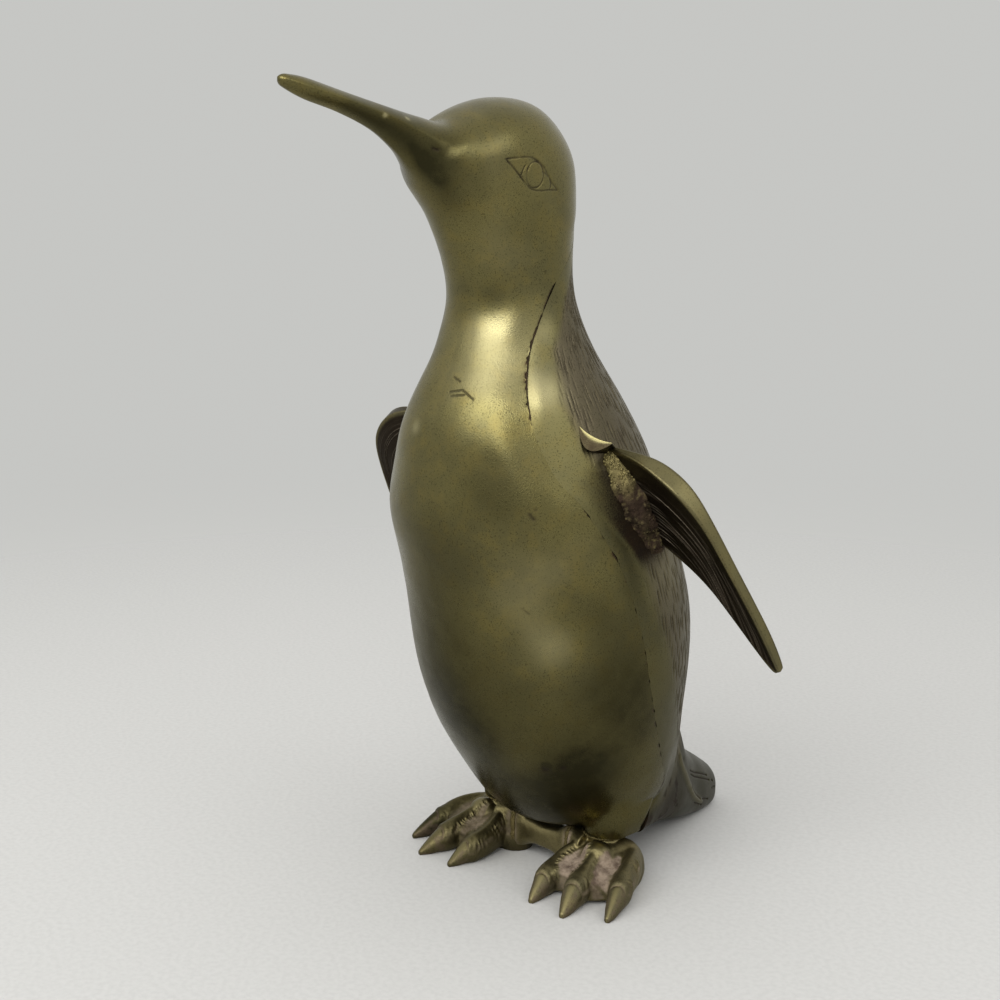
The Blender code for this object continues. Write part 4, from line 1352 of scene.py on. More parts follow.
@dataclass
class BackCasting(BodyCasting):
    """Casting of nape, back, flanks and tail, with cut feather lines."""
    columns: int = 460
    pitch: float = 0.0014
    # The edge that sinks to the seam beside the neck: heights, reach and depth
    lip_heights: Tuple[float, float, float, float] = (0.17, 0.18, 0.19, 0.214)
    lip_reach: float = 0.0085
    lip_sink: float = 0.0013
    # Painted highlights on that edge and under the wing: middle, reach and strength
    painted_highlights: Tuple[Smudge, ...] = Smudge.rows(
        (290, -550, 1835, 65, 0.75), (470, -130, 1180, 110, 0.16), (220, -494, 2021, 50, 0.25))
    # Where the feather lines begin: height, and degrees round from the front
    feather_edge: Pairs = (
        (0.04, 122.0), (0.0486, 116.0), (0.0619, 106.0), (0.086, 95.0), (0.1, 89.0),
        (0.1132, 86.0), (0.1324, 86.0), (0.1461, 81.0), (0.1539, 77.0), (0.1642, 70.0),
        (0.1718, 68.0), (0.1798, 65.0), (0.1956, 69.0), (0.2115, 95.0), (0.225, 128.0))
    # Where the stain under the wing begins, in the same way
    stain_edge: Pairs = (
        (0.118, 86.0), (0.13, 83.0), (0.138, 77.0), (0.145, 71.0), (0.153, 64.0))
    feather_top: Pair = (0.224, 0.231)
    feather_bottom: Pair = (0.03, 0.042)
    # Tail sections: back, bottom, top, half width
    tail: Rows = tenths((
        (-80, 148, 300, 360), (60, 112, 500, 335), (220, 65, 680, 275), (300, 42, 580, 240),
        (360, 28, 436, 212), (450, 8, 335, 178), (560, -6, 260, 146), (670, -6, 180, 105),
        (720, 20, 125, 60)))
    tail_end: Triple = (0.0, 0.0735, 0.007)
    crown_roundness: float = 2.1
    skirt_roundness: float = 3.6
    tail_sides: int = 180
    tail_steps: int = 12
    dish_depth: float = 0.0026
    dish_edge: float = 0.62
    # Where the dish begins and ends along the tail
    dish_start: Pair = (0.03, 0.042)
    dish_stop: Pair = (0.059, 0.0715)
    junction: float = 0.008
    # Where the rounding of the tail's root begins: away from the seam, backward and upward
    junction_from: Pairs = ((0.001, 0.006), (-0.004, 0.004), (0.003, 0.006))
    # The ridge that runs from the flank down the left edge of the tail
    ridge: Triples = tenths((
        (300, 170, 450), (274, 212, 393), (262, 246, 333), (233, 309, 260), (191, 402, 153),
        (169, 457, 106), (153, 504, 76)))
    # The stained side of the skirt: its middle and its reach
    skirt: Triple = (0.034, 0.016, 0.018)
    skirt_reach: float = 0.016
    ridge_width: float = 0.0013
    ridge_rise: float = 0.0009
    # Strokes cut in the sides of the tail, seen from the side: y and z
    strokes: Tuple[Pairs, ...] = tenths((
        ((381, 251), (438, 221), (522, 186), (566, 166)), ((389, 232), (430, 208), (479, 186), (546, 157),
        (587, 139)), ((619, 128), (629, 120)), ((620, 95), (656, 86)), ((383, 186), (440, 130),
        (490, 94)), ((512, 86), (578, 61)), ((438, 96), (519, 57))))
    stroke_width: float = 0.00034
    stroke_depth: float = 0.0004
    stroke_cuts: int = 2
    stroke_margin: float = 0.0013
    # The strokes are on the tail's sides, further out than this
    stroke_from: float = 0.008
    sharp: float = math.radians(60.0)

    def shell_mesh(self) -> Mesh:
        """The back without its tail, closed across from seam to seam.

        Returns:
            The new mesh.
        """
        body = self.body
        station = body.rows(0.0, self.seam.path()[0][-1], self.pitch)
        edge = self.seam.edge(station, 1.0)
        share, depth = self._columns()
        angle = math.pi + (math.pi - edge)[:, None] * share
        grid_station = np.repeat(station[:, None], len(share), 1)
        depth = np.where(edge < math.pi - 1e-4, 1.0, 0.0)[:, None] * depth
        height = body.heights(station)
        a, b, c, d = self.lip_heights
        strength = ramp(a, b, height) * (1.0 - ramp(c, d, height))
        radius = body.sections(station)[4]
        from_edge = (1.0 - np.abs(share)) * ((math.pi - edge) * radius)[:, None]
        sink = np.clip(1.0 - from_edge / self.lip_reach, 0.0, 1.0) ** 2
        sink = self.lip_sink * strength[:, None] * sink
        points = body.inside(grid_station.ravel(), angle.ravel(), (depth + sink).ravel())
        points = points.reshape(*grid_station.shape, 3)
        shell = Shell()
        numbers = self._skin(shell, points)
        shell.skin(numbers[:, [-1, 0]])
        shell.faces.append(numbers[0].tolist())
        return shell.mesh("back_casting")

    def tail_mesh(self) -> Mesh:
        """The tail tongue: a smooth skirt below a ridge, and a shallow dish on top.

        Returns:
            The new mesh.
        """
        rows = spline(self.tail, self.tail_steps)
        back, bottom, top, half_width = (rows[:, k][:, None] for k in range(4))
        turn = circle(self.tail_sides)[None, :]
        above = np.cos(turn) > 0.0
        up, out = rounded(turn, np.where(above, self.crown_roundness, self.skirt_roundness))
        middle, half_height = 0.5 * (top + bottom), 0.5 * (top - bottom)
        inner = np.clip(1.0 - np.abs(out) / self.dish_edge, 0.0, 1.0)
        dish = self.dish_depth * ramp(0.0, 0.55, inner) * above
        dish = dish * ramp(*self.dish_start, back) * (1.0 - ramp(*self.dish_stop, back))
        z = np.maximum(middle + half_height * up - dish, 0.0)
        y = np.maximum(np.broadcast_to(back, z.shape), self._crease(z))
        shell = Shell()
        closed = shell.loop(np.stack([half_width * out, y, z], -1))
        shell.skin(closed)
        shell.fan(closed[-1], self.tail_end)
        shell.faces.append(closed[0, :-1].tolist())
        return shell.mesh("tail")

    def _crease(self, z: Array) -> Array:
        """How far back the seam runs at each height, where the skirt of the tail begins."""
        line = self.body.points(*self.seam.path())
        return np.interp(z, line[:, 2], line[:, 1]) + 0.0002

    def _tail_reading(self, places: Array) -> Array:
        """How far places lie outside the tail, along its sections.

        Args:
            places: Places, one row each.

        Returns:
            Metres, below zero inside.
        """
        rows = spline(self.tail, self.tail_steps)
        bottom, top, half_width = (np.interp(places[:, 1], rows[:, 0], rows[:, k]) for k in (1, 2, 3))
        middle, half_height = 0.5 * (top + bottom), 0.5 * (top - bottom)
        up, out = np.abs(places[:, 2] - middle) / half_height, np.abs(places[:, 0]) / half_width
        return (np.hypot(up, out) - 1.0) * np.minimum(half_height, half_width)

    def _from_stroke(self, places: Array) -> Array:
        """The distance of each place from the strokes, seen from the side."""
        return np.min([distance_to_line(places[:, 1:], np.array(line)) for line in self.strokes], axis=0)

    def _by_stroke(self, middle: Array) -> Array:
        """Whether places are close to a stroke."""
        return (self._from_stroke(middle) < self.stroke_margin) & (np.abs(middle[:, 0]) > self.stroke_from)

    def build(self, bench: Bench) -> None:
        """The finished casting, with its tail grown in, its feathers cut and its dirt laid.

        Args:
            bench: Place, finishes and tools.
        """
        piece = new_object("back_shell", self.shell_mesh())
        fuse(piece, new_object("tail", self.tail_mesh()))
        mesh = piece.data
        places = positions(mesh)
        outside = self.body.reading(places)[2]
        near = np.exp(-(outside ** 2 + self._tail_reading(places) ** 2) / (2 * self.junction ** 2))
        beyond = (self.seam.distance(places), places[:, 1], places[:, 2])
        for limits, value in zip(self.junction_from, beyond):
            near *= ramp(*limits, value)
        relax(mesh, 0.5 * np.clip(1.4 * near, 0.0, 1.0), 90)
        refine(mesh, self._by_stroke, self.stroke_cuts)
        places = positions(mesh)
        _, angle, outside = self.body.reading(places)
        on_tail = ramp(0.0015, 0.006, outside)
        left = left_half(places)
        crest = bell(distance_to_line(left, spline(self.ridge, 6)), self.ridge_width)
        crest *= 1.0 - ramp(0.036, 0.046, places[:, 2])
        stroke = bell(self._from_stroke(places), self.stroke_width) * (left[:, 0] > self.stroke_from)
        lift = self.ridge_rise * crest - self.stroke_depth * stroke
        set_positions(mesh, places + normals(mesh) * lift[:, None])
        self._mark(mesh, places, angle, on_tail, stroke)
        # Painted highlights beside the neck seam and under the wing, and a brighter ridge along the tail.
        painted_highlight = sum(smudge.strength(left) for smudge in self.painted_highlights)
        set_mark(mesh, Mark.POLISH, np.clip(0.3 * crest + painted_highlight, 0.0, 1.0))
        bench.move(mesh)
        bench.cutter.apply(piece, {"Pitch": 0.0014, "Width": 0.00046, "Depth": 0.00046, "Stroke": 0.013,
                                   "Seed": 3.0, "Material": bench.brass[Slot.BACK]})
        piece.data.shade_smooth()
        piece.data.set_sharp_from_angle(angle=self.sharp)
        bench.dress(piece, Slot.BACK, "back_casting")

    def _mark(self, mesh: Mesh, places: Array, angle: Array, on_tail: Array, stroke: Array) -> None:
        """Stores where the feather lines run and where dirt lies.

        Args:
            mesh: The mesh, changed in place.
            places: Where its points are.
            angle: Radians round from the front.
            on_tail: How far each point is on the tail, from 0 to 1.
            stroke: How far each point is in a stroke, from 0 to 1.
        """
        height = places[:, 2]
        known, degrees = np.array(self.feather_edge).T
        begin = np.radians(np.interp(height, known, degrees))
        feather = ramp(begin, begin + 0.18, angle)
        feather *= ramp(*self.feather_bottom, height) * (1.0 - ramp(*self.feather_top, height))
        rows = spline(self.tail, self.tail_steps)
        half_width = np.interp(places[:, 1], rows[:, 0], rows[:, 3])
        top = np.interp(places[:, 1], rows[:, 0], 0.5 * (rows[:, 1] + rows[:, 2]))
        dished = (1.0 - ramp(0.55, 0.66, np.abs(places[:, 0]) / half_width)) * (height > top)
        feather = (1.0 - on_tail) * feather + on_tail * dished
        side = np.sign(places[:, 0])
        across = (1.0 - on_tail.round()) * side * (math.pi - angle) * 0.045
        across += on_tail.round() * places[:, 0]
        along = np.where(on_tail > 0.5, places[:, 1], height)
        for mark, values in ((Mark.FEATHER, feather), (Mark.ACROSS, across), (Mark.ALONG, along)):
            set_mark(mesh, mark, values)
        shade = bell(places[:, 1] + 0.03, 0.016) * ramp(0.118, 0.13, height)
        shade *= 1.0 - ramp(0.152, 0.16, height + 0.004 * rough_noise(places, 0.004, 33))
        begin = np.radians(np.interp(height, *np.array(self.stain_edge).T))
        shade *= ramp(begin, begin + 0.1, angle)
        pits = ramp(0.35, 0.7, rough_noise(places, 0.0035, 31))
        low = (1.0 - ramp(0.03, 0.05, height)) * pits
        skirt = bell(np.linalg.norm(np.abs(places) - np.array(self.skirt), axis=1), self.skirt_reach)
        dirt = 1.1 * shade + 0.6 * low * (places[:, 1] < 0.03) + 0.8 * stroke + 0.75 * skirt
        set_mark(mesh, Mark.DIRT, np.clip(dirt, 0.0, 1.0))
        set_mark(mesh, Mark.GRAIN, np.clip(shade + 0.3 * feather, 0.0, 1.0))
        low = 0.62 * (1.0 - ramp(0.045, 0.15, height)) * (1.0 - 0.5 * feather) + 0.45 * on_tail
        set_mark(mesh, Mark.TARNISH, np.clip(low + 0.12 * rough_noise(places, 0.018, 91), 0.0, 1.0))


@dataclass
class SeamBraze:
    """The run of filler in the seam, sunk where the seam stands open."""
    body: BodySurface
    seam: Seam
    depth: float = 0.00085
    radius: float = 0.00048

    def build(self, bench: Bench) -> None:
        """The finished run, up one side, over the nape and down the other.

        Args:
            bench: Place, finishes and tools.
        """
        station, angle = self.seam.path()
        left = self.body.inside(station, angle, np.full_like(station, self.depth))
        right = left[-2::-1] * np.array([-1.0, 1.0, 1.0])
        path = np.concatenate([left, right])
        mesh = bpy.data.meshes.new("seam_run")
        mesh.from_pydata(path.tolist(), [(i, i + 1) for i in range(len(path) - 1)], [])
        piece = bench.place("seam_run", mesh)
        bench.runner.apply(piece, {"Step": 0.0007, "Radius": self.radius, "Lump": 0.0005, "Seed": 7,
                                   "Material": bench.brass[Slot.FILLER]})
        bench.dress(piece, Slot.FILLER, "seam_braze")


@dataclass
class WingShape:
    """A wing plate, measured outward and down from the shoulder in the plane of the plate."""
    shoulder: Triple = (0.042, -0.039, 0.1665)
    tilt: float = math.radians(30.0)
    sweep: float = math.radians(10.0)
    # Sections: outer edge out and down, inner edge out and down, thickness
    chords: Rows = tenths((
        (-120, 50, -120, 340, 18), (-25, 36, -35, 362, 18), (35, 30, 5, 382, 20), (140, 44, 90, 420, 38),
        (232, 78, 160, 450, 60), (316, 156, 212, 495, 62), (360, 280, 245, 570, 44),
        (381, 450, 278, 655, 39), (399, 600, 308, 735, 37), (409, 742, 342, 818, 38),
        (405, 864, 372, 884, 34), (399, 890, 388, 896, 26)))
    # How much higher the right wing's outer edge stands at each section
    right_rise: Tuple[float, ...] = tenths((0, 0, 45, 64, 62, 48, 36, 22, 10, 0, 0, 0))
    edge_round: float = 0.0007
    face_columns: int = 210
    strip_columns: int = 9
    steps: int = 14
    fairing: int = 30
    hollow: float = 0.0005
    # The spur in front of the root: its tip, its end on the wing, its foot, its depth and its sag
    spur: Tuple[Triple, Triple, Triple] = tenths((
        (375, -468, 1714), (482, -420, 1664), (418, -470, 1640)))
    spur_depth: float = 0.009
    spur_sag: float = 0.0011

    def outward(self) -> Array:
        """The direction from the shoulder out along the left wing."""
        return np.array([math.cos(self.sweep), -math.sin(self.sweep), 0.0])

    def turned(self, local: Array) -> Array:
        """Places in the left wing's own frame, moved to its shoulder."""
        turn = np.array(Euler((self.tilt, 0.0, -self.sweep)).to_matrix())
        return local @ turn.T + np.array(self.shoulder)


@dataclass
class Wing:
    """A plate casting with feather lines on both faces and a filed leading edge."""
    shape: WingShape
    side: Side
    # Where the lines of the palm begin on each wing, as a share of the way from the outer edge
    lines_from: Dict[Side, Pair] = field(
        default_factory=lambda: {Side.LEFT: (0.16, 0.34), Side.RIGHT: (0.05, 0.14)})
    # How dark the filed edge of each wing is
    edge_tarnish: Dict[Side, float] = field(default_factory=lambda: {Side.LEFT: 0.0, Side.RIGHT: 0.8})
    sharp: float = math.radians(38.0)
    spur_rows: int = 30
    spur_columns: int = 12

    def _ring(self) -> Tuple[Array, Array]:
        """Places round a section.

        Returns:
            Share from outer to inner edge, and share of the half thickness.
        """
        shape = self.shape
        face = np.linspace(0.0, 1.0, shape.face_columns)
        strip = np.linspace(1.0, -1.0, shape.strip_columns + 2)[1:-1]
        share = np.concatenate([face, np.ones(len(strip)), face[::-1], np.zeros(len(strip))])
        level = np.concatenate([-np.ones(len(face)), -strip, np.ones(len(face)), strip])
        return share, level

    def left_mesh(self) -> Mesh:
        """The left wing's mesh at its shoulder, marked for cutting.

        Returns:
            The new mesh.
        """
        shape = self.shape
        chords = np.array(shape.chords)
        if self.side is Side.RIGHT:
            chords[:, 1] -= shape.right_rise
        rows = spline(chords, shape.steps)
        for _ in range(shape.fairing):
            rows[1:-1] += 0.25 * (rows[2:] - 2 * rows[1:-1] + rows[:-2])
        outer = np.stack([rows[:, 0], np.zeros(len(rows)), -rows[:, 1]], -1)
        inner = np.stack([rows[:, 2], np.zeros(len(rows)), -rows[:, 3]], -1)
        share, level = self._ring()
        chord = np.linalg.norm(inner - outer, axis=1)
        half = 0.5 * rows[:, 4]
        half = half * (0.55 + 0.45 * ramp(0.0, 1.0, np.arange(len(rows))[::-1] / 6.0))
        to_edge = np.minimum(share, 1.0 - share)[None, :] * chord[:, None]
        soft = np.clip(1.0 - to_edge / shape.edge_round, 0.0, 1.0)
        drop = shape.edge_round * (1.0 - np.sqrt(np.clip(1.0 - soft ** 2, 0.0, 1.0)))
        dent = shape.hollow * np.sin(math.pi * share) ** 2
        thick = np.abs(level)[None, :] * np.maximum(half[:, None] - drop - dent[None, :], 0.0003)
        local = outer[:, None] + (inner - outer)[:, None] * share[None, :, None]
        local[..., 1] = np.sign(level)[None, :] * thick
        shell = Shell()
        shell.tube(shape.turned(local.reshape(-1, 3)).reshape(local.shape))
        plate = shell.count
        shell.tube(self._spur_rings())
        mesh = shell.mesh("wing", 1e-7)
        bright = self._spur_highlight()
        for mark, values in self._marks(rows, chord, share, level).items():
            whole = np.zeros(len(mesh.vertices))
            whole[:plate] = values.ravel()
            # The wedge gets a painted highlight along its upper edge and is darker below it.
            whole[plate:] = {Mark.POLISH: bright, Mark.TARNISH: 0.85 * (1.0 - bright)}.get(mark, 0.0)
            set_mark(mesh, mark, whole)
        return mesh

    def _spur_rings(self) -> Array:
        """Sections of the wedge that stands on the body in front of the left wing's root.

        Returns:
            Places, rings by points.
        """
        shape = self.shape
        tip, end, foot = (np.array(corner) for corner in shape.spur)
        share = np.linspace(0.02, 0.98, self.spur_rows)[:, None]
        swell = 4.0 * share * (1.0 - share)
        top = tip + (end - tip) * share + unit(foot - 0.5 * (tip + end)) * shape.spur_sag * swell
        pull = 2.0 * foot - 0.5 * (tip + end)
        low = (1 - share) ** 2 * tip + 2 * share * (1 - share) * pull + share ** 2 * end
        inward = unit(np.cross(end - tip, foot - tip))
        inward = inward if inward[0] < 0.0 else -inward
        across = np.linspace(0.0, 1.0, self.spur_columns)[None, :, None]
        face = top[:, None] + (low - top)[:, None] * across
        back = [(edge + inward * shape.spur_depth)[:, None] for edge in (low, top)]
        return np.concatenate([face, *back], axis=1)

    def _spur_highlight(self) -> Array:
        """How bright the wedge is painted, a painted highlight that is strongest along its upper edge."""
        face = 1.0 - ramp(0.0, 0.35, np.linspace(0.0, 1.0, self.spur_columns))
        return np.tile(0.9 * np.concatenate([face, [0.0, 1.0]]), self.spur_rows)

    def _marks(self, rows: Array, chord: Array, share: Array, level: Array) -> Dict[Mark, Array]:
        """Where the lines run and where the plate is dirty or bright.

        Args:
            rows: The wing's dense sections.
            chord: Their widths.
            share: Share from outer to inner edge, round a section.
            level: Share of the half thickness, round a section.

        Returns:
            Values of each mark, sections by points.
        """
        middle = 0.5 * (rows[:, :2] + rows[:, 2:4])
        run = np.concatenate([[0.0], np.cumsum(np.linalg.norm(np.diff(middle, axis=0), axis=1))])
        across = share[None, :] * chord[:, None] + 0.0031 * (level > 0.0)[None, :]
        from_edge = np.minimum(share, 1.0 - share)[None, :] * chord[:, None]
        face = (np.abs(level) > 0.99)[None, :] * ramp(0.0008, 0.0022, from_edge)
        face = face * ramp(0.004, 0.01, run)[:, None]
        strip = ((share < 0.02) & (np.abs(level) < 0.995))[None, :] * np.ones((len(rows), 1))
        palm = (level < -0.99)[None, :] * ramp(0.0006, 0.0022, from_edge)
        dark = self.edge_tarnish[self.side]
        return {Mark.ACROSS: across, Mark.ALONG: np.repeat(run[:, None], len(share), 1),
                Mark.FEATHER: face * ramp(*self.lines_from[self.side], share)[None, :],
                Mark.POLISH: 0.3 * (1.0 - dark) * strip, Mark.GRAIN: 0.4 * face,
                Mark.TARNISH: palm + dark * strip}

    def build(self, bench: Bench) -> None:
        """The finished wing on its side.

        Args:
            bench: Place, finishes and tools.
        """
        name = self.side.name.lower()
        piece = bench.place(f"{name}_wing_plate", self.left_mesh(), self.side)
        bench.cutter.apply(piece, {"Pitch": 0.0008, "Width": 0.0002, "Depth": -0.0003, "Stroke": 0.06,
                                   "Seed": 11.0, "Material": bench.brass[Slot.WING]})
        piece.data.shade_smooth()
        piece.data.set_sharp_from_angle(angle=self.sharp)
        bench.dress(piece, Slot.WING, f"{name}_wing")


@dataclass
class WingBraze:
    """The rough lump of filler in the angle between a wing's palm and the body."""
    body: BodySurface
    shape: WingShape
    side: Side
    top: float = 0.004
    low: float = 0.044
    radius: float = 0.008
    thin: float = 0.0076
    blunt: float = 0.12
    # How thick the lump is behind the wing, as a share of its thickness before the palm
    rear: float = 0.5
    # Heights of its lumps, large and small, and depth of its cracks
    lump: float = 0.001
    bump: float = 0.0004
    crack: float = 0.0006
    rings: int = 90
    sides: int = 72

    def _corner(self, down: float) -> Tuple[Array, Array]:
        """Where the left palm meets the body.

        Args:
            down: Metres down the root.

        Returns:
            The place, and the direction that the palm faces.
        """
        shape = self.shape
        tilt = np.array([0.0, math.sin(shape.tilt), -math.cos(shape.tilt)])
        outward = shape.outward()
        palm = unit(np.cross(outward, tilt))
        palm = palm if palm[1] < 0.0 else -palm
        start = np.array(shape.shoulder) + tilt * down + palm * 0.5 * shape.chords[1][4]
        reach = np.linspace(-0.03, 0.03, 400)
        outside = self.body.reading(start + outward * reach[:, None])[2]
        return start + outward * reach[np.argmax(outside > 0.0)], palm

    def build(self, bench: Bench) -> None:
        """The finished lump with its grains.

        Args:
            bench: Place, finishes and tools.
        """
        turn = circle(self.sides)
        ahead = np.maximum(np.sin(turn), self.rear * np.sin(turn))
        outward = self.shape.outward()
        rings = []
        for share in np.linspace(0.0, 1.0, self.rings):
            corner, palm = self._corner(self.top + (self.low - self.top) * share)
            swell = math.sin(math.pi * (self.blunt + (1.0 - 2.0 * self.blunt) * share))
            radius = swell * (self.radius + (self.thin - self.radius) * share)
            rings.append(corner + radius * (np.cos(turn)[:, None] * outward + ahead[:, None] * palm))
        name = self.side.name.lower()
        mesh = Shell().tube(np.array(rings)).mesh(f"{name}_wing_lump")
        places, facing = positions(mesh), normals(mesh)
        lumps = self.lump * rough_noise(places, 0.006, 41) + self.bump * rough_noise(places, 0.0015, 47)
        cracks = lattice_noise(places * np.array([1.0, 1.0, 0.2]), 0.0016, 43)
        lumps += self.crack * cracks
        set_positions(mesh, places + facing * lumps[:, None])
        height = places[:, 2]
        fresh = ramp(0.146, 0.159, height + 0.006 * cracks)
        glint = ramp(0.15, 0.5, lattice_noise(places, 0.0012, 45)) * (1.0 - fresh)
        set_mark(mesh, Mark.GRAIN, 0.55 + 0.45 * fresh)
        dirt = (0.92 - 0.86 * fresh) * (0.75 + 0.25 * ramp(0.3, -0.3, cracks))
        set_mark(mesh, Mark.DIRT, dirt * (1.0 - 0.6 * glint))
        set_mark(mesh, Mark.POLISH, 0.6 * fresh + 0.25 * glint)
        piece = bench.place(f"{name}_wing_lump", mesh, self.side)
        bench.scatter.apply(piece, {"Spacing": 0.0009, "Size": 0.0006, "Seed": 5,
                                    "Material": bench.brass[Slot.FILLER]})
        bench.dress(piece, Slot.FILLER, f"{name}_wing_braze")


@dataclass
class FootShape:
    """The left foot's sizes, from the foot of its leg."""
    leg: Pair = (0.0255, -0.0175)
    leg_radius: float = 0.0068
    leg_foot_radius: float = 0.0105
    leg_top: float = 0.0182
    flare: Pair = (0.0055, 0.0146)
    collar_width: float = 0.0014
    collar_height: float = 0.0011
    # Rounded masses of the instep: middle and half sizes, from the foot of the leg
    instep: Rows = tenths((
        (20, -30, 60, 120, 110, 108), (-70, -25, 60, 80, 80, 104), (70, 10, 65, 85, 85, 104),
        (40, -88, 125, 60, 50, 50)))
    # Toe sections: middle, half width, half height
    toes: Tuple[Rows, ...] = tenths((
        ((-20, -25, 85, 48, 75), (-63, -115, 82, 33, 70), (-74, -195, 62, 30, 58),
        (-62, -245, 50, 43, 56), (-53, -282, 38, 35, 41), (-45, -324, 18, 22, 24),
        (-39, -351, 6, 10, 10)), ((25, -15, 88, 52, 78), (47, -95, 86, 34, 76), (67, -175, 70, 30, 66),
        (80, -235, 55, 45, 60), (93, -280, 41, 38, 44), (108, -325, 20, 24, 26), (117, -357, 6, 10, 10)),
        ((92, 30, 80, 52, 72), (150, -32, 80, 36, 70), (182, -92, 74, 34, 66), (202, -144, 60, 43, 57),
        (220, -188, 45, 34, 43), (240, -238, 22, 22, 25), (251, -272, 7, 10, 10))))
    web_bottom: float = 0.0014
    web_root: float = 0.0162
    web_front: float = 0.0094
    web_reach: float = 3.45
    web_sag: float = 0.0035
    # The bar between the feet: how far back its middle is, its depth, and how it thins at its waist
    bar_length: float = 0.026
    bar_back: float = -0.022
    bar_depth: float = 0.008
    bar_top: float = 0.0165
    bar_bottom: float = 0.002
    bar_waist: float = 0.0026
    bar_lift: float = 0.0013
    bar_flare: float = 0.005
    land_lift: float = 0.0018
    bar_roundness: float = 3.0
    bar_braze: float = 0.001
    clearance: float = 0.0003
    land_bite: float = 0.0034

    def toe_path(self, toe: int, steps: int) -> Array:
        """Dense sections of one toe: place, half width, half height."""
        return spline(self.toes[toe], steps) + (*self.leg, 0.0, 0.0, 0.0)

    def bar_rings(self, start: float, end: float, grow: float, count: int, sides: int) -> Array:
        """Rounded sections of the bar between two places across the feet.

        Args:
            start: The first place, along x.
            end: The last.
            grow: Metres added all round.
            count: How many sections.
            sides: Points round each.

        Returns:
            Places, rings by points.
        """
        x = np.linspace(start, end, count)[:, None]
        waist = self.bar_waist * np.maximum(0.0, 1.0 - (2.0 * x / self.bar_length) ** 2)
        flare = np.maximum(0.0, np.abs(x) / (0.5 * self.bar_length) - 1.0)
        lift = 0.5 * self.land_lift * ramp(0.62, 0.95, 2.0 * np.abs(x) / self.bar_length)
        half_height = 0.5 * (self.bar_top - self.bar_bottom) - waist + grow + lift
        half_depth = 0.5 * self.bar_depth + grow + self.bar_flare * flare
        up, back = rounded(circle(sides)[None, :], self.bar_roundness)
        middle = 0.5 * (self.bar_top + self.bar_bottom) + self.bar_lift * waist / self.bar_waist + lift
        flat = np.zeros_like(half_height * up)
        return np.stack([x + flat, self.bar_back + half_depth * back + flat, middle + half_height * up], -1)


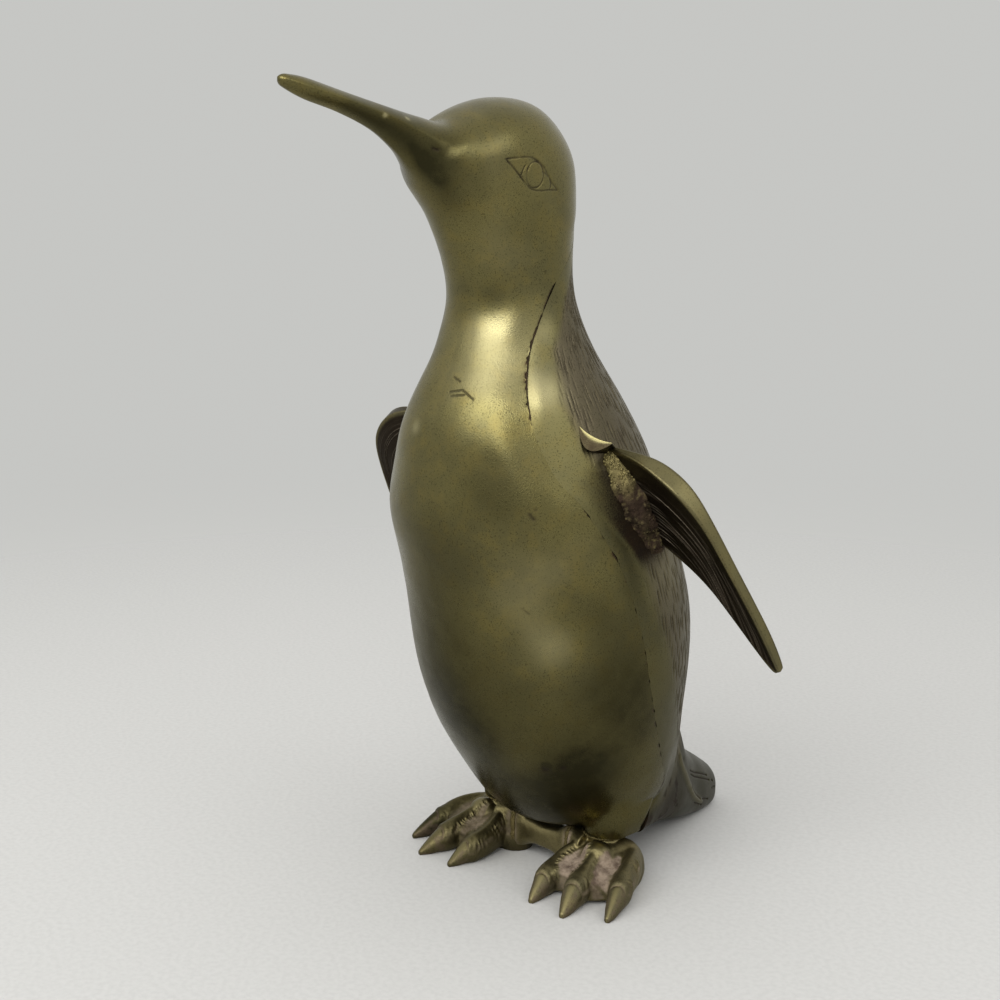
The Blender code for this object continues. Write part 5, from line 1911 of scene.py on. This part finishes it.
@dataclass
class Foot:
    """A casting of three wrinkled toes with webs and claws, and a short leg."""
    shape: FootShape
    voxel: float = 0.00036
    toe_steps: int = 12
    toe_sides: int = 28
    claw_from: float = 3.72
    wrinkle: float = 0.00042
    wrinkle_pitch: float = 0.0019
    # Heights of the cuticles and of the webs' grain, and depth of the notch behind each claw
    cuticle: float = 0.00045
    grain: float = 0.0002
    notch: float = 0.0003
    web_rows: int = 14
    web_columns: int = 13
    web_dip: float = 0.0009
    leg_rows: int = 14
    leg_sides: int = 48
    ball_rows: int = 20
    ball_sides: int = 40
    # The painted highlight on the knob over the middle toe's root: its place and its reach
    knob_highlight: Triple = (0.0295, -0.0275, 0.0165)
    knob_highlight_reach: float = 0.005
    tarnish: Dict[Side, float] = field(default_factory=lambda: {Side.LEFT: 0.0, Side.RIGHT: 0.45})
    # The dark outer claw of the right foot
    stain: Smudge = Smudge((-0.0467, -0.039, 0.007), 0.011, 0.55)

    def _toe(self, shell: Shell, toe: int) -> None:
        """Adds one toe to a shell, knuckled on top and flat below.

        Args:
            shell: What the foot is collected in.
            toe: The toe's number.
        """
        rows = self.shape.toe_path(toe, self.toe_steps)
        ahead = unit(np.gradient(rows[:, :2], axis=0))
        across = np.stack([-ahead[:, 1], ahead[:, 0], np.zeros(len(rows))], -1)
        turn = circle(self.toe_sides)
        side = rows[:, 3][:, None] * np.cos(turn)
        rise = rows[:, 4][:, None] * np.sin(turn)
        ring = rows[:, None, :3] + across[:, None] * side[..., None]
        ring[..., 2] += rise
        shell.tube(ring)

    def _web(self, shell: Shell, toe: int) -> None:
        """Adds the web between a toe and the next.

        Args:
            shell: What the foot is collected in.
            toe: The toe's number.
        """
        shape = self.shape
        reach = int(shape.web_reach * self.toe_steps)
        rows = [shape.toe_path(k, self.toe_steps)[:, :3] for k in (toe, toe + 1)]
        share = np.linspace(0.0, 1.0, self.web_rows)
        pick = np.round(share * reach).astype(int)
        across = np.linspace(0.0, 1.0, self.web_columns)
        place = rows[0][pick][:, None] * (1 - across)[None, :, None]
        place = place + rows[1][pick][:, None] * across[None, :, None]
        place[..., 1] += shape.web_sag * np.sin(math.pi * across)[None, :] * share[:, None]
        top, bottom = place.copy(), place.copy()
        dip = self.web_dip * np.sin(math.pi * across)[None, :] * ramp(0.1, 0.6, share)[:, None]
        top[..., 2] = (shape.web_root + (shape.web_front - shape.web_root) * share)[:, None] - dip
        bottom[..., 2] = shape.web_bottom
        shell.tube(np.concatenate([top, bottom[:, ::-1]], axis=1))

    def _leg(self, shell: Shell) -> None:
        """Adds the leg, from a flat sole up to just under the thigh.

        Args:
            shell: What the foot is collected in.
        """
        shape = self.shape
        turn = circle(self.leg_sides)[None, :]
        height = np.linspace(0.0005, shape.leg_top, self.leg_rows)[:, None]
        radius = shape.leg_radius - shape.leg_foot_radius
        radius = shape.leg_foot_radius + radius * ramp(*shape.flare, height)
        x, y = shape.leg[0] + radius * np.cos(turn), shape.leg[1] + radius * np.sin(turn)
        shell.tube(np.stack([x, y, height + 0.0 * turn], -1))

    def _instep(self, shell: Shell) -> None:
        """Adds the rounded masses over the roots of the toes.

        Args:
            shell: What the foot is collected in.
        """
        turn = circle(self.ball_sides)[None, :]
        lift = np.linspace(0.02, math.pi - 0.02, self.ball_rows)[:, None]
        ball = np.stack([np.sin(lift) * np.cos(turn), np.sin(lift) * np.sin(turn),
                         np.cos(lift) + 0.0 * turn], -1)
        for x, y, z, wide, deep, tall in self.shape.instep:
            middle = np.array([self.shape.leg[0] + x, self.shape.leg[1] + y, z])
            shell.tube(middle + ball * np.array([wide, deep, tall]))

    def left_mesh(self) -> Mesh:
        """The left foot as one skin, wrinkled and marked.

        Returns:
            The new mesh.
        """
        shape = self.shape
        shell = Shell()
        for toe in range(len(shape.toes)):
            self._toe(shell, toe)
        for toe in range(len(shape.toes) - 1):
            self._web(shell, toe)
        self._leg(shell)
        self._instep(shell)
        face = 0.5 * shape.bar_length + shape.bar_braze + 2.0 * shape.clearance
        shell.tube(shape.bar_rings(face, shape.leg[0] - shape.land_bite, 0.0, 12, 40))
        obj = new_object("foot_blank", shell.mesh("foot_blank", 1e-8))
        remesh = obj.modifiers.new("skin", "REMESH")
        remesh.mode = "VOXEL"
        remesh.voxel_size = self.voxel
        settle(obj)
        mesh = obj.data
        bpy.data.objects.remove(obj)
        places = positions(mesh)
        steady = 1.0 - ramp(self.claw_from - 0.6, self.claw_from, self._nearest(places)[1])
        relax(mesh, 0.5 * (0.25 + 0.75 * steady), 10)
        self._carve(mesh)
        return mesh

    def _nearest(self, places: Array) -> Tuple[Array, Array, Array]:
        """Where places lie by the nearest toe.

        Args:
            places: Places, one row each.

        Returns:
            Half widths from its middle, joints along it and metres along it.
        """
        best = np.full(len(places), np.inf)
        joint, length = np.zeros(len(places)), np.zeros(len(places))
        for toe in range(len(self.shape.toes)):
            rows = self.shape.toe_path(toe, self.toe_steps)
            run = np.concatenate([[0.0], np.cumsum(np.linalg.norm(np.diff(rows[:, :2], axis=0), axis=1))])
            gap = np.linalg.norm(places[:, None, :2] - rows[None, :, :2], axis=2) / rows[None, :, 3]
            pick = gap.argmin(1)
            away = gap[np.arange(len(places)), pick]
            nearer = away < best
            best = np.where(nearer, away, best)
            joint = np.where(nearer, pick / self.toe_steps, joint)
            length = np.where(nearer, run[pick], length)
        return best, joint, length

    def _carve(self, mesh: Mesh) -> None:
        """Wrinkles the toes, raises the cuticles and roughens the webs.

        Args:
            mesh: The mesh, changed in place.
        """
        places, facing = positions(mesh), normals(mesh)
        away, joint, length = self._nearest(places)
        on_toe = 1.0 - ramp(0.62, 0.95, away)
        upper = ramp(-0.2, 0.35, facing[:, 2])
        joint = joint + 0.14 * lattice_noise(places, 0.0035, 53)
        claw = ramp(self.claw_from - 0.06, self.claw_from + 0.06, joint)
        phase = 2 * math.pi * length / self.wrinkle_pitch + 5.0 * lattice_noise(places, 0.004, 51)
        ripple = np.sin(phase + 1.5 * away)
        zone = ramp(0.6, 1.1, joint) * (1.0 - ramp(3.0, 3.4, joint))
        zone *= ramp(-0.35, 0.35, lattice_noise(places, 0.0045, 57))
        flank = ramp(0.45, 0.8, away) * (1.0 - ramp(1.1, 1.4, away))
        wrinkle = self.wrinkle * ripple * zone * upper * flank
        uneven = 0.6 + 0.8 * lattice_noise(places, 0.003, 67)
        cuticle = self.cuticle * bell(joint - self.claw_from + 0.24, 0.2) * on_toe * upper * uneven
        notch = -self.notch * bell(joint - self.claw_from - 0.03, 0.07) * on_toe * upper
        web = ramp(0.7, 1.3, away + 0.25 * lattice_noise(places, 0.002, 59)) * (1.0 - claw)
        web *= ramp(-0.3, 0.3, facing[:, 2]) * ramp(0.4, 1.0, joint)
        grain = self.grain * rough_noise(places, 0.0016, 61) * (0.25 + 0.9 * web) * (1.0 - claw)
        places = places + facing * (wrinkle + cuticle + notch + grain)[:, None]
        places[:, 2] = np.maximum(places[:, 2], 0.0)
        set_positions(mesh, places)
        trough = ramp(0.1, 0.9, -ripple) * zone * upper * flank
        shade = np.clip(0.55 * trough + 0.8 * bell(joint - self.claw_from - 0.03, 0.08) * on_toe, 0.0, 1.0)
        set_mark(mesh, Mark.DIRT, np.clip(0.95 * web, 0.0, 1.0) * (1.0 - claw))
        # The claws' sides get painted shade, broken by noise.
        side = claw * ramp(0.3, 0.75, away) * ramp(-0.6, 0.5, rough_noise(places, 0.0016, 63))
        set_mark(mesh, Mark.GROOVE, np.maximum(0.7 * shade * (1.0 - 0.6 * web), 0.55 * side))
        set_mark(mesh, Mark.GRAIN, np.clip(web + 0.3 * zone, 0.0, 1.0) * (1.0 - claw))
        # Painted highlights along the claws' crests and on the knob, and brighter crests on the wrinkles.
        crest = ramp(0.2, 1.0, ripple) * zone * upper * flank
        knob_highlight = bell(np.linalg.norm(places - self.knob_highlight, axis=1), self.knob_highlight_reach)
        set_mark(mesh, Mark.POLISH, np.clip(0.6 * claw * (1.0 - ramp(0.1, 0.5, away))
                                            + 0.6 * crest * on_toe + 0.8 * knob_highlight, 0.0, 1.0))

    def build(self, bench: Bench) -> None:
        """Both finished feet.

        Args:
            bench: Place, finishes and tools.
        """
        left = self.left_mesh()
        for side in Side:
            name = side.name.lower()
            mesh = left.copy() if side is Side.LEFT else mirrored(left)
            dark = self.tarnish[side] + self.stain.strength(positions(mesh))
            set_mark(mesh, Mark.TARNISH, dark)
            for mark in (Mark.DIRT, Mark.POLISH):
                set_mark(mesh, mark, mark_values(mesh, mark) * (1.0 - dark))
            bench.dress(bench.place(f"{name}_foot_casting", mesh), Slot.FOOT, f"{name}_foot")


@dataclass
class FootBridge:
    """The plain filed bar between the feet, with rough filler at its ends and round each leg."""
    shape: FootShape
    proud: float = 0.0001
    # How uneven the bar is, how rough its ends are and how rough the filler is
    uneven: float = 0.00018
    end_rough: float = 0.00022
    filler_rough: float = 0.0003

    def bar(self, bench: Bench) -> None:
        """The finished bar.

        Args:
            bench: Place, finishes and tools.
        """
        shape = self.shape
        half = 0.5 * shape.bar_length
        mesh = Shell().tube(shape.bar_rings(-half, half, 0.0, 90, 96)).mesh("bridge_bar")
        places, facing = positions(mesh), normals(mesh)
        ends = ramp(0.5 * half, half, np.abs(places[:, 0]))
        lumps = self.uneven * rough_noise(places, 0.005, 71)
        lumps = lumps + self.end_rough * ends * rough_noise(places, 0.0014, 73)
        set_positions(mesh, places + facing * lumps[:, None])
        set_mark(mesh, Mark.DIRT, 0.45 * bell(np.abs(places[:, 0]) - half, 0.0016))
        set_mark(mesh, Mark.POLISH, 0.25 * (1.0 - ends))
        set_mark(mesh, Mark.GRAIN, ends)
        bench.dress(bench.place("bridge_bar", mesh), Slot.FOOT, "foot_bridge")

    def _rough(self, mesh: Mesh, name: str, node: str, side: Side, bench: Bench) -> None:
        """Roughens a left run of filler, turns it to its side and scatters grains on it.

        Args:
            mesh: The left run.
            name: The piece's name.
            node: The node that it stands for.
            side: Its side.
            bench: Place, finishes and tools.
        """
        places, facing = positions(mesh), normals(mesh)
        lumps = self.filler_rough * rough_noise(places, 0.0022, 81)
        set_positions(mesh, places + facing * lumps[:, None])
        set_mark(mesh, Mark.DIRT, np.full(len(places), 0.15))
        set_mark(mesh, Mark.GRAIN, np.full(len(places), 1.0))
        piece = bench.place(name, mesh, side)
        bench.scatter.apply(piece, {"Spacing": 0.0008, "Size": 0.00034, "Seed": 9,
                                    "Material": bench.brass[Slot.FILLER]})
        bench.dress(piece, Slot.FILLER, node)

    def end_mesh(self) -> Mesh:
        """The left run of filler at the end of the bar.

        Returns:
            The new mesh.
        """
        shape = self.shape
        start = 0.5 * shape.bar_length + shape.clearance
        close = 0.7 * shape.clearance
        rings = shape.bar_rings(start - close, start + shape.bar_braze + close, self.proud, 5, 120)
        return Shell().tube(rings).mesh("bar_filler")

    def collar_mesh(self) -> Mesh:
        """The left collar of filler under the thigh, round the leg.

        Returns:
            The new mesh.
        """
        shape = self.shape
        turn = circle(96)
        near = shape.leg_radius + shape.clearance
        rings = []
        for radius, drop in ((near, shape.collar_height), (near, 0.0), (near + shape.collar_width, 0.0),
                             (near + 0.35 * shape.collar_width, 0.55 * shape.collar_height)):
            x, y = shape.leg[0] + radius * np.cos(turn), shape.leg[1] + radius * np.sin(turn)
            rings.append(np.stack([x, y, np.full_like(x, shape.leg_top - drop)], -1))
        shell = Shell()
        closed = shell.loop(np.array(rings))
        shell.skin(np.vstack([closed, closed[:1]]))
        return shell.mesh("leg_filler")

    def filler(self, bench: Bench) -> None:
        """The finished filler at both ends of the bar and round both legs.

        Args:
            bench: Place, finishes and tools.
        """
        for side in Side:
            name = side.name.lower()
            for mesh, label, node in ((self.end_mesh(), "bar_filler", "bridge_braze"),
                                      (self.collar_mesh(), "leg_filler", "leg_braze")):
                self._rough(mesh, f"{name}_{label}", f"{name}_{node}", side, bench)


@dataclass
class Studio:
    """A pale floor that fades into an even background, soft light and the camera."""
    floor_radius: float = 1.4
    floor_sides: int = 96
    floor_fade: Pair = (0.18, 0.95)
    floor_colour: Triple = (0.54, 0.536, 0.517)
    background: Triple = (0.565, 0.568, 0.55)
    world_light: float = 1.0
    ground_glow: Triple = (0.74, 0.74, 0.72)
    sky_glow: Triple = (0.98, 0.98, 0.98)
    # Soft boxes: name, degrees round and up, distance, width and height, watts
    lamps: Tuple[Tuple[str, float, float, float, Pair, float], ...] = (
        ("window", 18.0, 36.0, 1.6, (1.7, 0.74), 14.0),
        ("window_wide", 6.0, 37.0, 1.62, (2.8, 1.0), 7.5),
        ("side", 90.0, 32.0, 1.7, (1.3, 1.1), 4.0))
    lamp_aim: Triple = (0.0, 0.0, 0.16)
    camera_place: Triple = (0.3754, -0.38095, 0.2416)
    camera_turn: Triple = (math.radians(79.2), 0.0, math.radians(45.7))
    lens: float = 55.08

    def floor(self) -> None:
        """The floor disc, which melts into the background far from the object."""
        mesh = bpy.data.meshes.new("floor")
        turn = circle(self.floor_sides)
        ring = np.stack([np.cos(turn), np.sin(turn), 0.0 * turn], -1) * self.floor_radius
        mesh.from_pydata(ring.tolist(), [], [list(range(self.floor_sides))])
        obj = new_object("floor", mesh)
        material = bpy.data.materials.new("paper")
        material.use_nodes = True
        graph = Graph(material.node_tree)
        place = graph.wire("ShaderNodeTexCoord", output="Object")
        away = graph.wire("ShaderNodeVectorMath", {"operation": "LENGTH"}, {0: place}, "Value")
        grain = graph.wire("ShaderNodeTexNoise", None,
                           {"Vector": place, "Scale": 500.0, "Detail": 3.0}, "Fac")
        dark = tuple(0.93 * c for c in self.floor_colour)
        colour = graph.blend(grain.rise(0.3, 0.75), tint(*self.floor_colour), tint(*dark))
        bump = graph.wire("ShaderNodeBump", None, {"Strength": 0.35, "Distance": 0.0002, "Height": grain},
                          "Normal")
        paper = graph.add("ShaderNodeBsdfPrincipled", None, {
            "Base Color": colour, "Roughness": 0.9, "Specular IOR Level": 0.1, "Normal": bump})
        clear = graph.add("ShaderNodeBsdfTransparent")
        mixed = graph.add("ShaderNodeMixShader", None,
                          {0: away.rise(*self.floor_fade), 1: paper.outputs[0], 2: clear.outputs[0]})
        graph.add("ShaderNodeOutputMaterial", None, {"Surface": mixed.outputs[0]})
        mesh.materials.append(material)

    def world(self) -> None:
        """Even light all round, a little stronger from above, with a plain background."""
        world = bpy.data.worlds.new("studio")
        world.use_nodes = True
        graph = Graph(world.node_tree)
        ray = graph.add("ShaderNodeLightPath")
        camera = Wire(graph, ray.outputs["Is Camera Ray"])
        facing = graph.wire("ShaderNodeTexCoord", output="Generated")
        up = graph.wire("ShaderNodeSeparateXYZ", None, {0: facing}, "Z")
        glow = graph.blend(up.rise(-0.1, 0.9), tint(*self.ground_glow), tint(*self.sky_glow))
        light = graph.add("ShaderNodeBackground", None, {"Color": glow, "Strength": self.world_light})
        plain = graph.add("ShaderNodeBackground", None, {"Color": tint(*self.background), "Strength": 1.0})
        mixed = graph.add("ShaderNodeMixShader", None,
                          {0: camera, 1: light.outputs[0], 2: plain.outputs[0]})
        graph.add("ShaderNodeOutputWorld", None, {"Surface": mixed.outputs[0]})
        bpy.context.scene.world = world

    def lamp(self, name: str, azimuth: float, elevation: float, distance: float,
             size: Pair, power: float) -> None:
        """A soft box that faces the middle of the object.

        Args:
            name: The lamp's name.
            azimuth: Degrees round from the front, towards the penguin's left.
            elevation: Degrees above the ground.
            distance: Metres from the object.
            size: Width and height in metres.
            power: Watts.
        """
        data = bpy.data.lights.new(name, "AREA")
        data.shape = "RECTANGLE"
        data.size, data.size_y = size
        data.energy = power
        obj = new_object(name, data)
        a, e = math.radians(azimuth), math.radians(elevation)
        back = Vector((math.sin(a) * math.cos(e), -math.cos(a) * math.cos(e), math.sin(e)))
        obj.location = Vector(self.lamp_aim) + back * distance
        obj.rotation_euler = (-back).to_track_quat("-Z", "Y").to_euler()

    def build(self) -> None:
        """Sets up floor, light and camera."""
        self.floor()
        self.world()
        for lamp in self.lamps:
            self.lamp(*lamp)
        camera = bpy.data.cameras.new("camera")
        camera.lens = self.lens
        camera.clip_start = 0.01
        obj = new_object("camera", camera)
        obj.location = self.camera_place
        obj.rotation_euler = self.camera_turn
        bpy.context.scene.camera = obj
        bpy.context.scene.view_settings.view_transform = "Standard"


def finishes() -> Dict[Slot, Material]:
    """The finish of each material slot.

    Returns:
        A material for each slot.
    """
    kinds = {
        Slot.FRONT: AgedBrass(
            "filed_front", (0.156, 0.136, 0.053), (0.118, 0.105, 0.046), (0.184, 0.148, 0.048), 0.3,
            bright=(0.38, 0.34, 0.18), grain_height=0.00009),
        Slot.BACK: AgedBrass(
            "cut_back", (0.15, 0.133, 0.056), (0.112, 0.102, 0.05), (0.172, 0.142, 0.05), 0.36,
            plume=(0.118, 0.099, 0.066), bright=(0.38, 0.34, 0.18), rust=(0.02, 0.012, 0.006)),
        Slot.WING: AgedBrass(
            "cut_wing", (0.14, 0.122, 0.058), (0.1, 0.088, 0.046), (0.16, 0.13, 0.056), 0.38,
            bright=(0.25, 0.222, 0.1), plume=(0.022, 0.016, 0.01), tarnish=(0.022, 0.016, 0.01),
            soot=(0.17, 0.142, 0.105)),
        Slot.FOOT: AgedBrass(
            "cast_foot", (0.16, 0.135, 0.062), (0.11, 0.096, 0.052), (0.18, 0.145, 0.07), 0.44,
            bright=(0.26, 0.225, 0.105), grain_height=0.00003, rust=(0.33, 0.262, 0.195),
            soot=(0.12, 0.085, 0.062)),
        Slot.FILLER: AgedBrass(
            "rough_filler", (0.16, 0.132, 0.055), (0.11, 0.08, 0.05), (0.2, 0.155, 0.065), 0.48,
            rust=(0.05, 0.032, 0.022))}
    return {slot: finish.material() for slot, finish in kinds.items()}


def main() -> None:
    """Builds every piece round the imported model."""
    logging.basicConfig(level=logging.INFO, format="%(name)s %(message)s")
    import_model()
    body = BodySurface()
    seam = Seam(body)
    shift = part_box("front_casting")[0].y - body.beak_tip[1]
    bench = Bench(shift, finishes(), FeatherCutter(), GrainScatter(), BeadRun())
    FrontCasting(body, seam).build(bench)
    BackCasting(body, seam).build(bench)
    SeamBraze(body, seam).build(bench)
    wing = WingShape()
    for side in Side:
        Wing(wing, side).build(bench)
        WingBraze(body, wing, side).build(bench)
    foot = FootShape()
    Foot(foot).build(bench)
    bridge = FootBridge(foot)
    bridge.bar(bench)
    bridge.filler(bench)
    Studio().build()


if __name__ == "__main__":
    main()
